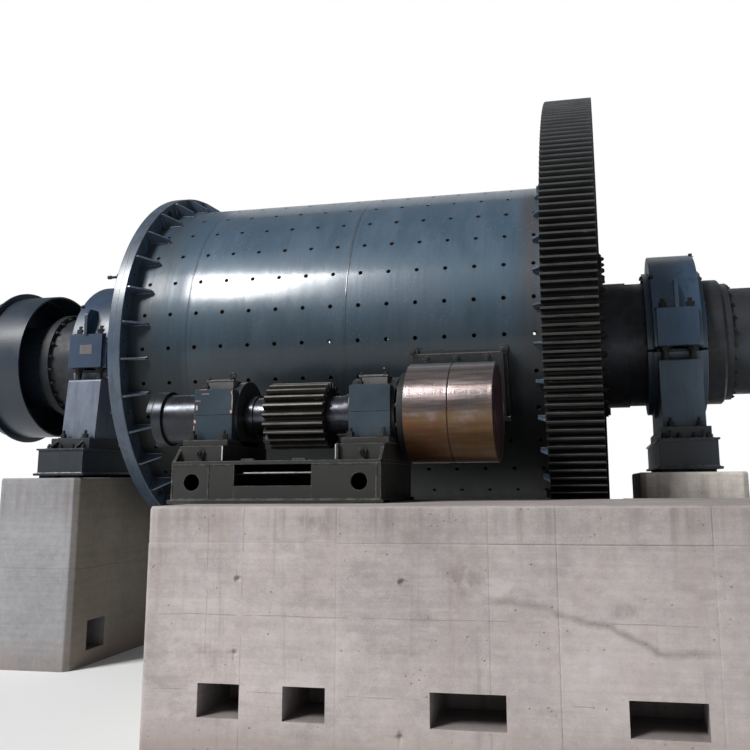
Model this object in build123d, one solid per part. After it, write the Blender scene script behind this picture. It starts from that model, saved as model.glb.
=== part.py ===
"""Ball mill on its concrete foundations, with its pinion shaft set down on the drive block.

Millimetres. +X runs along the mill axis towards the girth gear, +Z is up and the drive block
stands on the -Y side. The origin is at ground level, at the centre of the whole footprint.
"""
from build123d import *
import math
import os

# Shell of the drum
shell_outer_radius = 1540.0
shell_plate = 40.0
shell_length = 3850.0
axis_height = 2820.0

# Bolted end flanges, gussets and heads
flange_height = 150.0
shell_flange_thickness = 58.0
head_flange_thickness = 58.0
gusset_count = 32
gusset_length = 180.0
gusset_thickness = 16.0
gusset_tip_height = 40.0
gusset_first_angle = 6.6
gusset_sink = 10.0
head_flange_seat = 50.0
head_hub_radius = 700.0
head_cone_depth = 177.0
head_plate = 70.0

# Trunnions
trunnion_bore_radius = 430.0
trunnion_flange_thickness = 45.0
trunnion_collar_radius = 590.0
trunnion_journal_radius = 578.0
trunnion_neck_radius = 500.0
left_collar_length = 235.0
right_collar_length = 238.0
left_journal_length = 795.0
right_journal_length = 1079.0
left_ring_radius = 547.0
left_ring_thickness = 80.0
left_neck_length = 440.0

# Girth gear and pinion
gear_module = 20.0
gear_teeth = 230
gear_face_width = 410.0
gear_rim_thickness = 60.0
gear_web_thickness = 50.0
gear_web_gap = 10.0
gear_rib_gap = 60.0
gear_rib_inset = 30.0
gear_rib_count = 16
gear_rib_thickness = 30.0
gear_joint_plate = 45.0
gear_joint_height = 330.0
gear_split_angle = 7.5
pinion_teeth = 22
pinion_face_width = 450.0
pinion_drop_angle = 18.0
pressure_angle = 20.0

# Manhole on the shell
manhole_from_gear_end = 445.0
manhole_length = 785.0
manhole_height = 560.0
manhole_frame_width = 90.0
manhole_frame_rise = 55.0
manhole_cover_rise = 40.0
manhole_angle = 18.0

# Feeder drum beyond the left bearing
feeder_neck_radius = 440.0
feeder_neck_wall = 25.0
feeder_flange_radius = 530.0
feeder_flange_thickness = 30.0
feeder_drum_radius = 760.0
feeder_drum_wall = 18.0
feeder_gap = 101.0
feeder_drum_length = 520.0
feeder_plate_thickness = 25.0
feeder_inlet_radius = 330.0
feeder_ring_radius = 812.0
feeder_ring_thickness = 22.0
feeder_ring_offset = 390.0

# Discharge spout beyond the right bearing
spout_flange_radius = 540.0
spout_flange_thickness = 60.0
spout_radius = 491.0
spout_wall = 16.0
spout_length = 420.0
spout_lip_radius = 530.0
spout_lip_thickness = 20.0

# Trunnion bearings
left_bearing_offset = 530.0
right_bearing_offset = 650.0
journal_clearance = 0.8
cap_wall = 216.0
cap_width = 408.0
cap_bore_clearance = 26.0
seal_rise = 90.0
seal_width = 50.0
seal_clearance = 6.0
split_drop = 140.0
block_proud = 40.0
block_width = 350.0
block_top = 190.0
fin_thickness = 30.0
fin_proud = 58.0
fin_depth = 318.0
fin_top = 445.0
saddle_wall = 130.0
saddle_shoulder = 72.0
pedestal_top_drop = 255.0
pedestal_floor = 252.0
pedestal_proud = 15.0
pedestal_rake = 55.0
stud_radius = 30.0
stud_spacing = 230.0
stud_inset = 95.0
upper_base_height = 100.0
base_block_height = 225.0
base_block_width = 460.0
base_block_step = 140.0
upper_base_width = 400.0
upper_base_ledge = 120.0
base_rib_thickness = 16.0
base_rib_reach = 110.0
base_rib_spacing = 260.0
base_plate_thickness = 22.0
base_plate_margin = 25.0
packer_height = 23.0
packer_width = 110.0
packer_length = 180.0
packer_rows = 5

# Concrete
pier_half_length = 400.0
pier_half_width = 1455.0
pier_chamfer = 45.0
pier_pocket_width = 280.0
pier_pocket_height = 250.0
pier_pocket_depth = 350.0
pier_pocket_y = -1045.0
pier_pocket_base = 130.0
drive_block_front = 3500.0
drive_block_back = 1780.0
drive_block_reach_left = 2530.0
drive_block_reach_right = 1358.0
gear_pit_margin = 100.0
gear_pit_depth = 200.0
drive_block_chamfer = 25.0
pocket_offsets = (-2036.0, -1518.0, -581.0, 476.0)
pocket_widths = (255.0, 250.0, 420.0, 400.0)
pocket_height = 185.0
pocket_base = 245.0
pocket_depth = 450.0

# Pinion shaft assembly
pinion_set_back = 1942.0
pinion_bearing_spacing = 1148.0
pinion_bearing_shift = 6.0
pinion_shaft_radius = 140.0
pinion_journal_radius = 120.0
shaft_shoulder_gap = 10.0
pinion_journal_clearance = 0.6
housing_width = 290.0
housing_half_depth = 293.0
housing_top_rise = 186.0
housing_arch_radius = 260.0
housing_arch_width = 330.0
housing_foot_half_depth = 400.0
housing_foot_thickness = 42.0
housing_foot_width = 330.0
housing_corner_cut = 30.0
housing_base_drop = 221.0
inspection_cover_width = 210.0
inspection_cover_rise = 32.0
pedestal_block_height = 108.0
pedestal_block_front = 465.0
pedestal_block_back = 290.0
pedestal_block_inner_reach = 176.0
pedestal_plate = 20.0
pedestal_inner_plate_reach = 495.0
pedestal_outer_plate_top = 438.0
pedestal_outer_plate_base = 545.0
frame_length = 1460.0
frame_front = 553.0
frame_back = 320.0
frame_height = 280.0
frame_plate = 25.0
frame_flange_margin = 20.0
frame_hole_radius = 56.0
frame_hole_inset = 146.0
frame_slot_length = 540.0
frame_slot_height = 140.0
frame_slot_shift = -10.0
frame_shelf_drop = 84.0
frame_shelf_thickness = 14.0
frame_shelf_set_back = 153.0
frame_pad_length = 88.0
frame_pad_height = 13.0
frame_pad_depth = 60.0
frame_pad_spacing = 360.0
hub_radius = 180.0
hub_length = 260.0
hub_gap = 52.0
coupling_flange_radius = 204.0
coupling_flange_length = 75.0
jaw_length = 42.0
jaw_inner_radius = 110.0
jaw_sector = 88.0
jaw_first_angle = 101.0
disc_radius = 290.0
disc_thickness = 58.0
disc_gap = 20.0
drum_radius = 350.0
drum_wall = 26.0
drum_half_length = 304.0
drum_groove = 7.0
drum_groove_depth = 12.0
drum_hub_length = 60.0
drum_end_plate = 24.0
drum_end_recess = 8.0
drum_hub_radius = 165.0

# Small overlap that fuses a welded piece to the piece that carries it
weld_overlap = 5.0

# Positions that follow from the sizes
half_shell = shell_length / 2
flange_outer_radius = shell_outer_radius + flange_height
head_flange_inner_radius = shell_outer_radius - head_flange_seat
gear_web_inner_radius = head_flange_inner_radius + gear_web_gap
head_outer_face = half_shell + head_flange_thickness
hub_face = head_outer_face + head_cone_depth
trunnion_flange_face = hub_face + trunnion_flange_thickness
gear_tip_radius = gear_module * (gear_teeth + 2) / 2
gear_root_radius = gear_module * (gear_teeth - 2.5) / 2
gear_rim_inner_radius = gear_root_radius - gear_rim_thickness
gear_centre_x = head_outer_face + gear_web_thickness / 2
left_journal_end = trunnion_flange_face + left_journal_length
left_trunnion_end = left_journal_end + left_neck_length
right_journal_end = trunnion_flange_face + right_journal_length
left_bearing_x = -(trunnion_flange_face + left_bearing_offset)
right_bearing_x = trunnion_flange_face + right_bearing_offset
pinion_distance = gear_module * (gear_teeth + pinion_teeth) / 2
pinion_drop = math.radians(pinion_drop_angle)
pinion_y = -pinion_distance * math.cos(pinion_drop)
pinion_z = -pinion_distance * math.sin(pinion_drop)
frame_top_z = pinion_z - housing_base_drop - pedestal_block_height
frame_base_z = frame_top_z - frame_height
cap_bore_radius = trunnion_journal_radius + cap_bore_clearance
cap_outer_radius = cap_bore_radius + cap_wall
seal_outer_radius = trunnion_journal_radius + seal_rise
block_face = cap_outer_radius + block_proud
fin_face = cap_outer_radius + fin_proud
saddle_half_width = trunnion_journal_radius + saddle_shoulder
pedestal_top_face = cap_outer_radius + pedestal_proud
pedestal_bottom_face = pedestal_top_face + pedestal_rake
pedestal_bottom_drop = trunnion_journal_radius + pedestal_floor
stud_offset = block_face - stud_inset
base_block_top_drop = pedestal_bottom_drop + upper_base_height
base_block_bottom_drop = base_block_top_drop + base_block_height
upper_base_face = pedestal_bottom_face + upper_base_ledge
base_block_face = upper_base_face + base_block_step
drive_block_left = gear_centre_x - drive_block_reach_left
drive_block_right = gear_centre_x + drive_block_reach_right
pinion_centre_x = gear_centre_x - pinion_set_back
feeder_drum_start = left_trunnion_end + feeder_gap
pier_top_z = -(base_block_bottom_drop + base_plate_thickness + packer_height)
feeder_far_end = feeder_drum_start + feeder_drum_length
spout_end = right_journal_end + spout_flange_thickness + spout_length
footprint_x = (spout_end - feeder_far_end) / 2
footprint_y = (gear_tip_radius - drive_block_front) / 2


def turned(points, start=0.0, sweep=360.0):
    """Solid of revolution about the mill axis from (x, radius) points."""
    profile = make_face(Polyline(*[(x, 0, radius) for x, radius in points], close=True))
    solid = revolve(profile, Axis.X, revolution_arc=sweep)
    return Rot(start, 0, 0) * solid


def tube(x_low, x_high, outer, inner, start=0.0, sweep=360.0):
    """Plain tube between two stations along X."""
    return turned([(x_low, inner), (x_high, inner), (x_high, outer), (x_low, outer)], start, sweep)


def disc(x_low, x_high, radius):
    """Plain round bar between two stations along X."""
    return turned([(x_low, 0), (x_high, 0), (x_high, radius), (x_low, radius)])


def block(x_low, x_high, y_low, y_high, z_low, z_high):
    """Box between stated faces."""
    size = (x_high - x_low, y_high - y_low, z_high - z_low)
    middle = ((x_low + x_high) / 2, (y_low + y_high) / 2, (z_low + z_high) / 2)
    return Pos(*middle) * Box(*size)


def plate_yz(points, x_low, x_high):
    """Plate cut to a (y, z) outline and spanning x_low to x_high."""
    outline = make_face(Polyline(*[(x_low, y, z) for y, z in points], close=True))
    return extrude(outline, amount=x_high - x_low, dir=(1, 0, 0))


def plate_xz(points, y_low, y_high):
    """Plate cut to an (x, z) outline and spanning y_low to y_high."""
    outline = make_face(Polyline(*[(x, y_low, z) for x, z in points], close=True))
    return extrude(outline, amount=y_high - y_low, dir=(0, 1, 0))


def mirrored(piece):
    """The same piece at the other end of the mill."""
    return mirror(piece, about=Plane.YZ)


nodes = {}


def keep(name, piece):
    """Stores a node with its mill axis lifted to its height over the footprint's centre."""
    nodes[name] = Pos(-footprint_x, -footprint_y, axis_height) * piece


# Drum shell and its end flanges
def shell_flange():
    """Right-hand end flange ring with its ring of gussets on the shell side."""
    inner_face = half_shell - shell_flange_thickness
    ring = tube(inner_face, half_shell, flange_outer_radius, shell_outer_radius)
    outer = flange_outer_radius - 12
    foot = shell_outer_radius - gusset_sink
    profile = [
        (inner_face - gusset_length, foot),
        (inner_face + gusset_sink, foot),
        (inner_face + gusset_sink, outer),
        (inner_face - 25, outer),
        (inner_face - gusset_length, shell_outer_radius + gusset_tip_height),
    ]
    gusset = plate_xz(profile, -gusset_thickness / 2, gusset_thickness / 2)
    for i in range(gusset_count):
        angle = gusset_first_angle + i * 360 / gusset_count
        ring += Rot(angle, 0, 0) * gusset
    return ring - disc(-half_shell, half_shell + gusset_sink, shell_outer_radius)


manhole_end = half_shell - manhole_from_gear_end
manhole_x = (manhole_end - manhole_length, manhole_end)
opening_low = manhole_x[0] + manhole_frame_width
opening_high = manhole_x[1] - manhole_frame_width
opening_half = manhole_height / 2 - manhole_frame_width


def at_manhole(piece):
    """Turns a piece built facing -Y down to the manhole's place on the shell."""
    return Rot(manhole_angle, 0, 0) * piece


shell = tube(-half_shell, half_shell, shell_outer_radius, shell_outer_radius - shell_plate)
hole_cut = block(opening_low, opening_high, -flange_outer_radius, 0, -opening_half, opening_half)
shell -= at_manhole(hole_cut)
keep("mill_shell", shell)
right_flange = shell_flange()
keep("right_shell_flange", right_flange)
keep("left_shell_flange", mirrored(right_flange))


# Manhole frame and cover, bent to the shell
def saddle_plate(x_low, x_high, half_height, inner, outer):
    """Curved plate that lies on the shell between two radii."""
    ring = tube(x_low, x_high, outer, inner)
    return ring & block(x_low, x_high, -outer - weld_overlap, 0, -half_height, half_height)


frame_inner = shell_outer_radius
frame_outer = frame_inner + manhole_frame_rise
cover_outer = frame_outer + manhole_cover_rise
manhole_frame = saddle_plate(*manhole_x, manhole_height / 2, frame_inner, frame_outer) - hole_cut
cover_inset = manhole_frame_width / 3
manhole_cover = saddle_plate(
    manhole_x[0] + cover_inset, manhole_x[1] - cover_inset,
    manhole_height / 2 - cover_inset, frame_outer, cover_outer)
keep("manhole_frame", at_manhole(manhole_frame))
keep("manhole_cover", at_manhole(manhole_cover))


# Heads and trunnions
def head():
    """Right-hand head: bolting ring, shallow cone and hub, turned in one piece."""
    return turned([
        (half_shell, flange_outer_radius),
        (half_shell, head_flange_inner_radius - head_plate),
        (hub_face - head_plate, head_hub_radius - head_plate),
        (hub_face - head_plate, trunnion_bore_radius),
        (hub_face, trunnion_bore_radius),
        (hub_face, head_hub_radius),
        (head_outer_face, head_flange_inner_radius),
        (head_outer_face, flange_outer_radius),
    ])


right_head = head()
keep("right_head", right_head)
keep("left_head", mirrored(right_head))

right_collar_end = trunnion_flange_face + right_collar_length
right_trunnion = turned([
    (hub_face, trunnion_bore_radius),
    (hub_face, head_hub_radius),
    (trunnion_flange_face, head_hub_radius),
    (trunnion_flange_face, trunnion_collar_radius),
    (right_collar_end, trunnion_collar_radius),
    (right_collar_end, trunnion_journal_radius),
    (right_journal_end - 20, trunnion_journal_radius),
    (right_journal_end, trunnion_journal_radius - 20),
    (right_journal_end, trunnion_bore_radius),
])
keep("right_trunnion", right_trunnion)

left_collar_end = trunnion_flange_face + left_collar_length
ring_start = left_trunnion_end - left_ring_thickness
left_trunnion = turned([
    (hub_face, trunnion_bore_radius),
    (hub_face, head_hub_radius),
    (trunnion_flange_face, head_hub_radius),
    (trunnion_flange_face, trunnion_collar_radius),
    (left_collar_end, trunnion_collar_radius),
    (left_collar_end, trunnion_journal_radius),
    (left_journal_end, trunnion_journal_radius),
    (left_journal_end, trunnion_neck_radius),
    (ring_start, trunnion_neck_radius),
    (ring_start, left_ring_radius),
    (left_trunnion_end, left_ring_radius),
    (left_trunnion_end, trunnion_bore_radius),
])
keep("left_trunnion", mirrored(left_trunnion))


# Girth gear in two bolted halves
def gear_tooth_outline():
    """Tip and root points of the whole gear, first gap centred on the joint plane."""
    pitch_radius = gear_module * gear_teeth / 2
    addendum = gear_tip_radius - pitch_radius
    dedendum = pitch_radius - gear_root_radius
    lean = math.tan(math.radians(pressure_angle))
    quarter = math.pi * gear_module / 4
    tip_half = (quarter - addendum * lean) / gear_tip_radius
    root_half = (quarter + dedendum * lean) / gear_root_radius
    step = 2 * math.pi / gear_teeth
    points = []
    for i in range(gear_teeth):
        centre = (i + 0.5) * step
        for radius, offset in (
            (gear_root_radius, -root_half),
            (gear_tip_radius, -tip_half),
            (gear_tip_radius, tip_half),
            (gear_root_radius, root_half),
        ):
            points.append((radius * math.cos(centre + offset), radius * math.sin(centre + offset)))
    return points


def gear_half(low_half):
    """One half of the girth gear, with its joint plane turned up in front by the split angle."""
    face_low = gear_centre_x - gear_face_width / 2
    face_high = gear_centre_x + gear_face_width / 2
    teeth = gear_tooth_outline()
    half = teeth[: len(teeth) // 2]
    start = (gear_root_radius, 0)
    end = (-gear_root_radius, 0)
    inner = gear_rim_inner_radius
    edge = Polyline(*[(face_low, y, z) for y, z in [start] + half + [end]])
    left_leg = Line((face_low, -gear_root_radius, 0), (face_low, -inner, 0))
    inside = ThreePointArc((face_low, -inner, 0), (face_low, 0, inner), (face_low, inner, 0))
    right_leg = Line((face_low, inner, 0), (face_low, gear_root_radius, 0))
    face = make_face([edge, left_leg, inside, right_leg])
    rim = extrude(face, amount=gear_face_width, dir=(1, 0, 0))
    web_low = gear_centre_x - gear_web_thickness / 2
    web_high = gear_centre_x + gear_web_thickness / 2
    web = tube(web_low, web_high, inner + weld_overlap, gear_web_inner_radius)
    web &= block(web_low, web_high, -gear_tip_radius, gear_tip_radius, 0, gear_tip_radius)
    solid = rim + web
    rib_inner = flange_outer_radius + gear_rib_gap
    for i in range(gear_rib_count // 2):
        angle = (i + 0.5) * 360 / gear_rib_count
        rib = block(face_low + gear_rib_inset, face_high - gear_rib_inset,
                    -gear_rib_thickness / 2, gear_rib_thickness / 2, rib_inner, inner + weld_overlap)
        solid += Rot(90 - angle, 0, 0) * rib
    for side in (-1, 1):
        y_inner = side * (inner - gear_joint_height)
        y_outer = side * (inner + weld_overlap)
        pad = block(face_low + gear_rib_inset, face_high - gear_rib_inset,
                    min(y_inner, y_outer), max(y_inner, y_outer), 0, gear_joint_plate)
        solid += pad
    if low_half:
        solid = Rot(180, 0, 0) * solid
    return Rot(-gear_split_angle, 0, 0) * solid


keep("girth_gear_upper", gear_half(False))
keep("girth_gear_lower", gear_half(True))

# Feeder drum with its neck, beyond the left trunnion
neck_start = -left_trunnion_end
neck_end = -feeder_far_end + feeder_plate_thickness
feeder_neck = tube(neck_end, neck_start, feeder_neck_radius, feeder_neck_radius - feeder_neck_wall)
feeder_neck += tube(neck_start - feeder_flange_thickness, neck_start,
                    feeder_flange_radius, feeder_neck_radius - feeder_neck_wall)
keep("feeder_neck", feeder_neck)
keep("feeder_end_plate", tube(-feeder_far_end, neck_end,
                              feeder_drum_radius - feeder_drum_wall, feeder_inlet_radius))
keep("feeder_drum", tube(-feeder_far_end, -feeder_drum_start,
                         feeder_drum_radius, feeder_drum_radius - feeder_drum_wall))
ring_x = -feeder_drum_start - feeder_ring_offset
keep("feeder_ring", tube(ring_x - feeder_ring_thickness, ring_x,
                         feeder_ring_radius, feeder_drum_radius))

# Discharge spout beyond the right trunnion
spout_start = right_journal_end + spout_flange_thickness
spout_inner = spout_radius - spout_wall
spout = turned([
    (right_journal_end, spout_inner),
    (right_journal_end, spout_flange_radius),
    (spout_start, spout_flange_radius),
    (spout_start, spout_radius),
    (spout_end - spout_lip_thickness, spout_radius),
    (spout_end - spout_lip_thickness, spout_lip_radius),
    (spout_end, spout_lip_radius),
    (spout_end, spout_inner),
])
keep("discharge_spout", spout)


# Trunnion bearings
def bearing_cap():
    """Arched cover with bolting blocks and one fin on each side, round x = 0."""
    span = 2 * cap_outer_radius
    above_split = block(-cap_width, cap_width, -span, span, -split_drop, span)
    arch = tube(-cap_width / 2, cap_width / 2, cap_outer_radius, cap_bore_radius) & above_split
    seal_bore = trunnion_journal_radius + seal_clearance + cap_bore_clearance / 2
    seal = tube(-cap_width / 2 - seal_width, cap_width / 2 + seal_width, seal_outer_radius, seal_bore)
    solid = arch + (seal & above_split)
    for side in (-1, 1):
        faces = sorted((side * cap_bore_radius, side * block_face))
        lug = block(-block_width / 2, block_width / 2, *faces, -split_drop, block_top)
        fin_faces = sorted((side * (fin_face - fin_depth), side * fin_face))
        fin = block(-fin_thickness / 2, fin_thickness / 2, *fin_faces, block_top - weld_overlap, fin_top)
        solid += lug + fin
    return solid - disc(-cap_width, cap_width, seal_bore)


def bearing_pedestal():
    """Lower housing: saddle with the half bore on two raking cheeks."""
    outline = [
        (-saddle_half_width, -split_drop), (-saddle_half_width, -pedestal_top_drop),
        (-pedestal_top_face, -pedestal_top_drop), (-pedestal_bottom_face, -pedestal_bottom_drop),
        (pedestal_bottom_face, -pedestal_bottom_drop), (pedestal_top_face, -pedestal_top_drop),
        (saddle_half_width, -pedestal_top_drop), (saddle_half_width, -split_drop),
    ]
    body = plate_yz(outline, -block_width / 2, block_width / 2)
    saddle = disc(-cap_width / 2, cap_width / 2, trunnion_journal_radius + saddle_wall)
    saddle += disc(-cap_width / 2 - seal_width, cap_width / 2 + seal_width, seal_outer_radius)
    saddle &= block(-cap_width, cap_width, -saddle_half_width, saddle_half_width,
                    -pedestal_bottom_drop, -split_drop)
    return body + saddle - disc(-cap_width, cap_width, trunnion_journal_radius + journal_clearance)


def bearing_studs():
    """Four studs that hold the cap blocks over the gap above the pedestal."""
    solids = []
    height = pedestal_top_drop - split_drop
    for x in (-stud_spacing / 2, stud_spacing / 2):
        for y in (-stud_offset, stud_offset):
            stud = Cylinder(stud_radius, height)
            solids.append(Pos(x, y, -(pedestal_top_drop + split_drop) / 2) * stud)
    return Compound(children=solids)


def bearing_base():
    """Box base with a stepped-in upper part, raking ribs and a foot plate."""
    lower = block(-base_block_width / 2, base_block_width / 2, -base_block_face, base_block_face,
                  -base_block_bottom_drop, -base_block_top_drop)
    upper = block(-upper_base_width / 2, upper_base_width / 2, -upper_base_face, upper_base_face,
                  -base_block_top_drop, -pedestal_bottom_drop)
    plate_low = -base_block_bottom_drop - base_plate_thickness
    half = base_block_width / 2 + base_plate_margin
    face = base_block_face + base_plate_margin
    solid = lower + upper + block(-half, half, -face, face, plate_low, -base_block_bottom_drop)
    for side in (-1, 1):
        for x in (-base_rib_spacing / 2, base_rib_spacing / 2):
            outline = [
                (side * upper_base_face, -base_block_top_drop),
                (side * (upper_base_face + base_rib_reach), -base_block_top_drop),
                (side * upper_base_face, -pedestal_bottom_drop - base_plate_margin),
            ]
            solid += plate_yz(outline, x - base_rib_thickness / 2, x + base_rib_thickness / 2)
    return solid


def bearing_packers():
    """Steel packers in two rows between the foot plate and the concrete."""
    solids = []
    reach = base_block_face - packer_width / 2
    z = pier_top_z + packer_height / 2
    for i in range(packer_rows):
        y = -reach + i * 2 * reach / (packer_rows - 1)
        for x in (-base_block_width / 4, base_block_width / 4):
            solids.append(Pos(x, y, z) * Box(packer_length, packer_width, packer_height))
    return Compound(children=solids)


for side_name, x_place in (("left", left_bearing_x), ("right", right_bearing_x)):
    keep(f"{side_name}_bearing_cap", Pos(x_place, 0, 0) * bearing_cap())
    keep(f"{side_name}_bearing_pedestal", Pos(x_place, 0, 0) * bearing_pedestal())
    keep(f"{side_name}_bearing_studs", Pos(x_place, 0, 0) * bearing_studs())
    keep(f"{side_name}_bearing_base", Pos(x_place, 0, 0) * bearing_base())
    keep(f"{side_name}_bearing_packers", Pos(x_place, 0, 0) * bearing_packers())


# Concrete piers and the drive block
def pier(pocket_side):
    """Pier with cut corners and a pocket in the face towards the drum."""
    solid = block(-pier_half_length, pier_half_length, -pier_half_width, pier_half_width,
                  -axis_height, pier_top_z)
    solid = chamfer(solid.edges().filter_by(Axis.Z), pier_chamfer)
    face = pocket_side * pier_half_length
    deep = pocket_side * (pier_half_length - pier_pocket_depth)
    low = -axis_height + pier_pocket_base
    pocket = block(min(face, deep), max(face, deep), pier_pocket_y - pier_pocket_width / 2,
                   pier_pocket_y + pier_pocket_width / 2, low, low + pier_pocket_height)
    return solid - pocket


keep("left_pier", Pos(left_bearing_x, 0, 0) * pier(1))
keep("right_pier", Pos(right_bearing_x, 0, 0) * pier(-1))

drive_block = block(drive_block_left, drive_block_right, -drive_block_front, -drive_block_back,
                    -axis_height, frame_base_z)
drive_block = chamfer(drive_block.edges().filter_by(Axis.Z), drive_block_chamfer)
pit_half = gear_face_width / 2 + gear_pit_margin
drive_block -= block(gear_centre_x - pit_half, gear_centre_x + pit_half,
                     -drive_block_back - gear_pit_depth, 0, -axis_height, 0)
for offset, width in zip(pocket_offsets, pocket_widths):
    centre = gear_centre_x + offset
    low = -axis_height + pocket_base
    drive_block -= block(centre - width / 2, centre + width / 2, -drive_block_front,
                         -drive_block_front + pocket_depth, low, low + pocket_height)
keep("drive_block", drive_block)


# Pinion base frame
def base_frame():
    """Welded plate frame: open box with round holes, a slot and an inner shelf."""
    x_low = pinion_centre_x - frame_length / 2
    x_high = pinion_centre_x + frame_length / 2
    y_front = pinion_y - frame_front
    y_back = pinion_y + frame_back
    solid = block(x_low, x_high, y_front, y_back, frame_base_z, frame_top_z)
    solid -= block(x_low + frame_plate, x_high - frame_plate, y_front + frame_plate,
                   y_back - frame_plate, frame_base_z, frame_top_z - frame_plate)
    foot = block(x_low - frame_flange_margin, x_high + frame_flange_margin,
                 y_front - frame_flange_margin, y_back + frame_flange_margin,
                 frame_base_z, frame_base_z + frame_plate)
    foot -= block(x_low + frame_hole_inset, x_high - frame_hole_inset, y_front + frame_hole_inset,
                  y_back - frame_hole_inset, frame_base_z, frame_base_z + frame_plate)
    solid += foot
    hole_z = frame_base_z + frame_height / 2
    for x in (x_low + frame_hole_inset, x_high - frame_hole_inset):
        through = Cylinder(frame_hole_radius, 2 * (frame_front + frame_back))
        solid -= Pos(x, pinion_y, hole_z) * Rot(90, 0, 0) * through
    slot_x = pinion_centre_x + frame_slot_shift
    slot_top = frame_top_z - frame_plate
    solid -= block(slot_x - frame_slot_length / 2, slot_x + frame_slot_length / 2,
                   y_front - frame_plate, y_front + 2 * frame_plate,
                   slot_top - frame_slot_height, slot_top)
    shelf_z = frame_top_z - frame_shelf_drop
    solid += block(x_low + frame_plate, x_high - frame_plate, y_front + frame_shelf_set_back,
                   y_back - frame_plate,
                   shelf_z - frame_shelf_thickness, shelf_z)
    for x in (slot_x - frame_pad_spacing / 2, slot_x + frame_pad_spacing / 2):
        solid += block(x - frame_pad_length / 2, x + frame_pad_length / 2, y_front, y_front + frame_pad_depth,
                       frame_top_z, frame_top_z + frame_pad_height)
    return solid


keep("pinion_base_frame", base_frame())

bearing_middle = pinion_centre_x + pinion_bearing_shift
left_housing_x = bearing_middle - pinion_bearing_spacing / 2
right_housing_x = bearing_middle + pinion_bearing_spacing / 2


def pedestal_block(x_outer, x_inner):
    """Raised seat of one pinion bearing, between a raking outer plate and a square inner one."""
    low = frame_top_z
    high = frame_top_z + pedestal_block_height
    inward = math.copysign(pedestal_plate, x_inner - x_outer)
    back = pinion_y + pedestal_block_back
    outline = [
        (pinion_y - pedestal_outer_plate_base, low), (back, low), (back, high),
        (pinion_y - pedestal_outer_plate_top, high),
    ]
    solid = block(*sorted((x_outer, x_inner)), pinion_y - pedestal_block_front, back, low, high)
    solid += plate_yz(outline, *sorted((x_outer, x_outer + inward)))
    return solid + block(*sorted((x_inner - inward, x_inner)),
                         pinion_y - pedestal_inner_plate_reach, back, low, high)


frame_low_x = pinion_centre_x - frame_length / 2
frame_high_x = pinion_centre_x + frame_length / 2
keep("pinion_pedestals", Compound(children=[
    pedestal_block(frame_low_x, left_housing_x + pedestal_block_inner_reach),
    pedestal_block(frame_high_x, right_housing_x - pedestal_block_inner_reach)]))


def on_pinion_axis(piece, x=0.0):
    """Moves a piece built round the X axis onto the pinion axis."""
    return Pos(x, pinion_y, pinion_z) * piece


def housing_shape():
    """Whole pinion bearing housing round the X axis, with its bore."""
    half = housing_width / 2
    cut = housing_corner_cut
    outline = [
        (-half, -housing_base_drop), (half, -housing_base_drop), (half, housing_top_rise - cut),
        (half - cut, housing_top_rise), (-half + cut, housing_top_rise),
        (-half, housing_top_rise - cut),
    ]
    body = plate_xz(outline, -housing_half_depth, housing_half_depth)
    foot_half = housing_foot_width / 2
    foot_back = pedestal_block_back
    foot = block(-foot_half, foot_half, -housing_foot_half_depth, foot_back,
                 -housing_base_drop, -housing_base_drop + housing_foot_thickness)
    arch = disc(-housing_arch_width / 2, housing_arch_width / 2, housing_arch_radius)
    reach = 2 * housing_foot_half_depth
    arch &= block(-reach, reach, -reach, reach, -housing_base_drop, reach)
    lid_half = inspection_cover_width / 2
    lid = block(-lid_half, lid_half, -lid_half, lid_half, housing_top_rise,
                housing_arch_radius + inspection_cover_rise)
    bore = disc(-reach, reach, pinion_journal_radius + pinion_journal_clearance)
    return body + foot + arch + lid - bore


housing = housing_shape()
reach = 2 * housing_foot_half_depth
upper_space = block(-reach, reach, -reach, reach, 0, reach)
lower_space = block(-reach, reach, -reach, reach, -reach, 0)
for side_name, x_place in (("left", left_housing_x), ("right", right_housing_x)):
    keep(f"pinion_{side_name}_cap", on_pinion_axis(housing & upper_space, x_place))
    keep(f"pinion_{side_name}_housing", on_pinion_axis(housing & lower_space, x_place))

# Pinion rotor: shaft, toothed pinion, jaw coupling half and clutch drum
pinion_low = pinion_centre_x - pinion_face_width / 2
pinion_high = pinion_centre_x + pinion_face_width / 2
hub_high = left_housing_x - housing_width / 2 - hub_gap
hub_low = hub_high - hub_length
disc_low = right_housing_x + housing_arch_width / 2 + disc_gap
disc_high = disc_low + disc_thickness
drum_high = disc_high + 2 * drum_half_length
bearing_inner_left = left_housing_x + housing_arch_width / 2 + shaft_shoulder_gap
bearing_inner_right = right_housing_x - housing_arch_width / 2 - shaft_shoulder_gap
shaft_low = hub_low - coupling_flange_length
plate_high = drum_high - drum_end_recess
plate_low = plate_high - drum_end_plate
shaft = turned([
    (shaft_low, 0), (plate_high, 0), (plate_high, pinion_journal_radius),
    (bearing_inner_right, pinion_journal_radius), (bearing_inner_right, pinion_shaft_radius),
    (bearing_inner_left, pinion_shaft_radius), (bearing_inner_left, pinion_journal_radius),
    (shaft_low, pinion_journal_radius),
])
keep("pinion_shaft", on_pinion_axis(shaft))


def involute_point(base_radius, angle_at_pitch, radius):
    """Angle of an involute flank at a radius, zero on the tooth's pitch point."""
    cos_here = min(1.0, base_radius / radius)
    alpha = math.acos(cos_here)
    return (math.tan(alpha) - alpha) - angle_at_pitch


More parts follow.
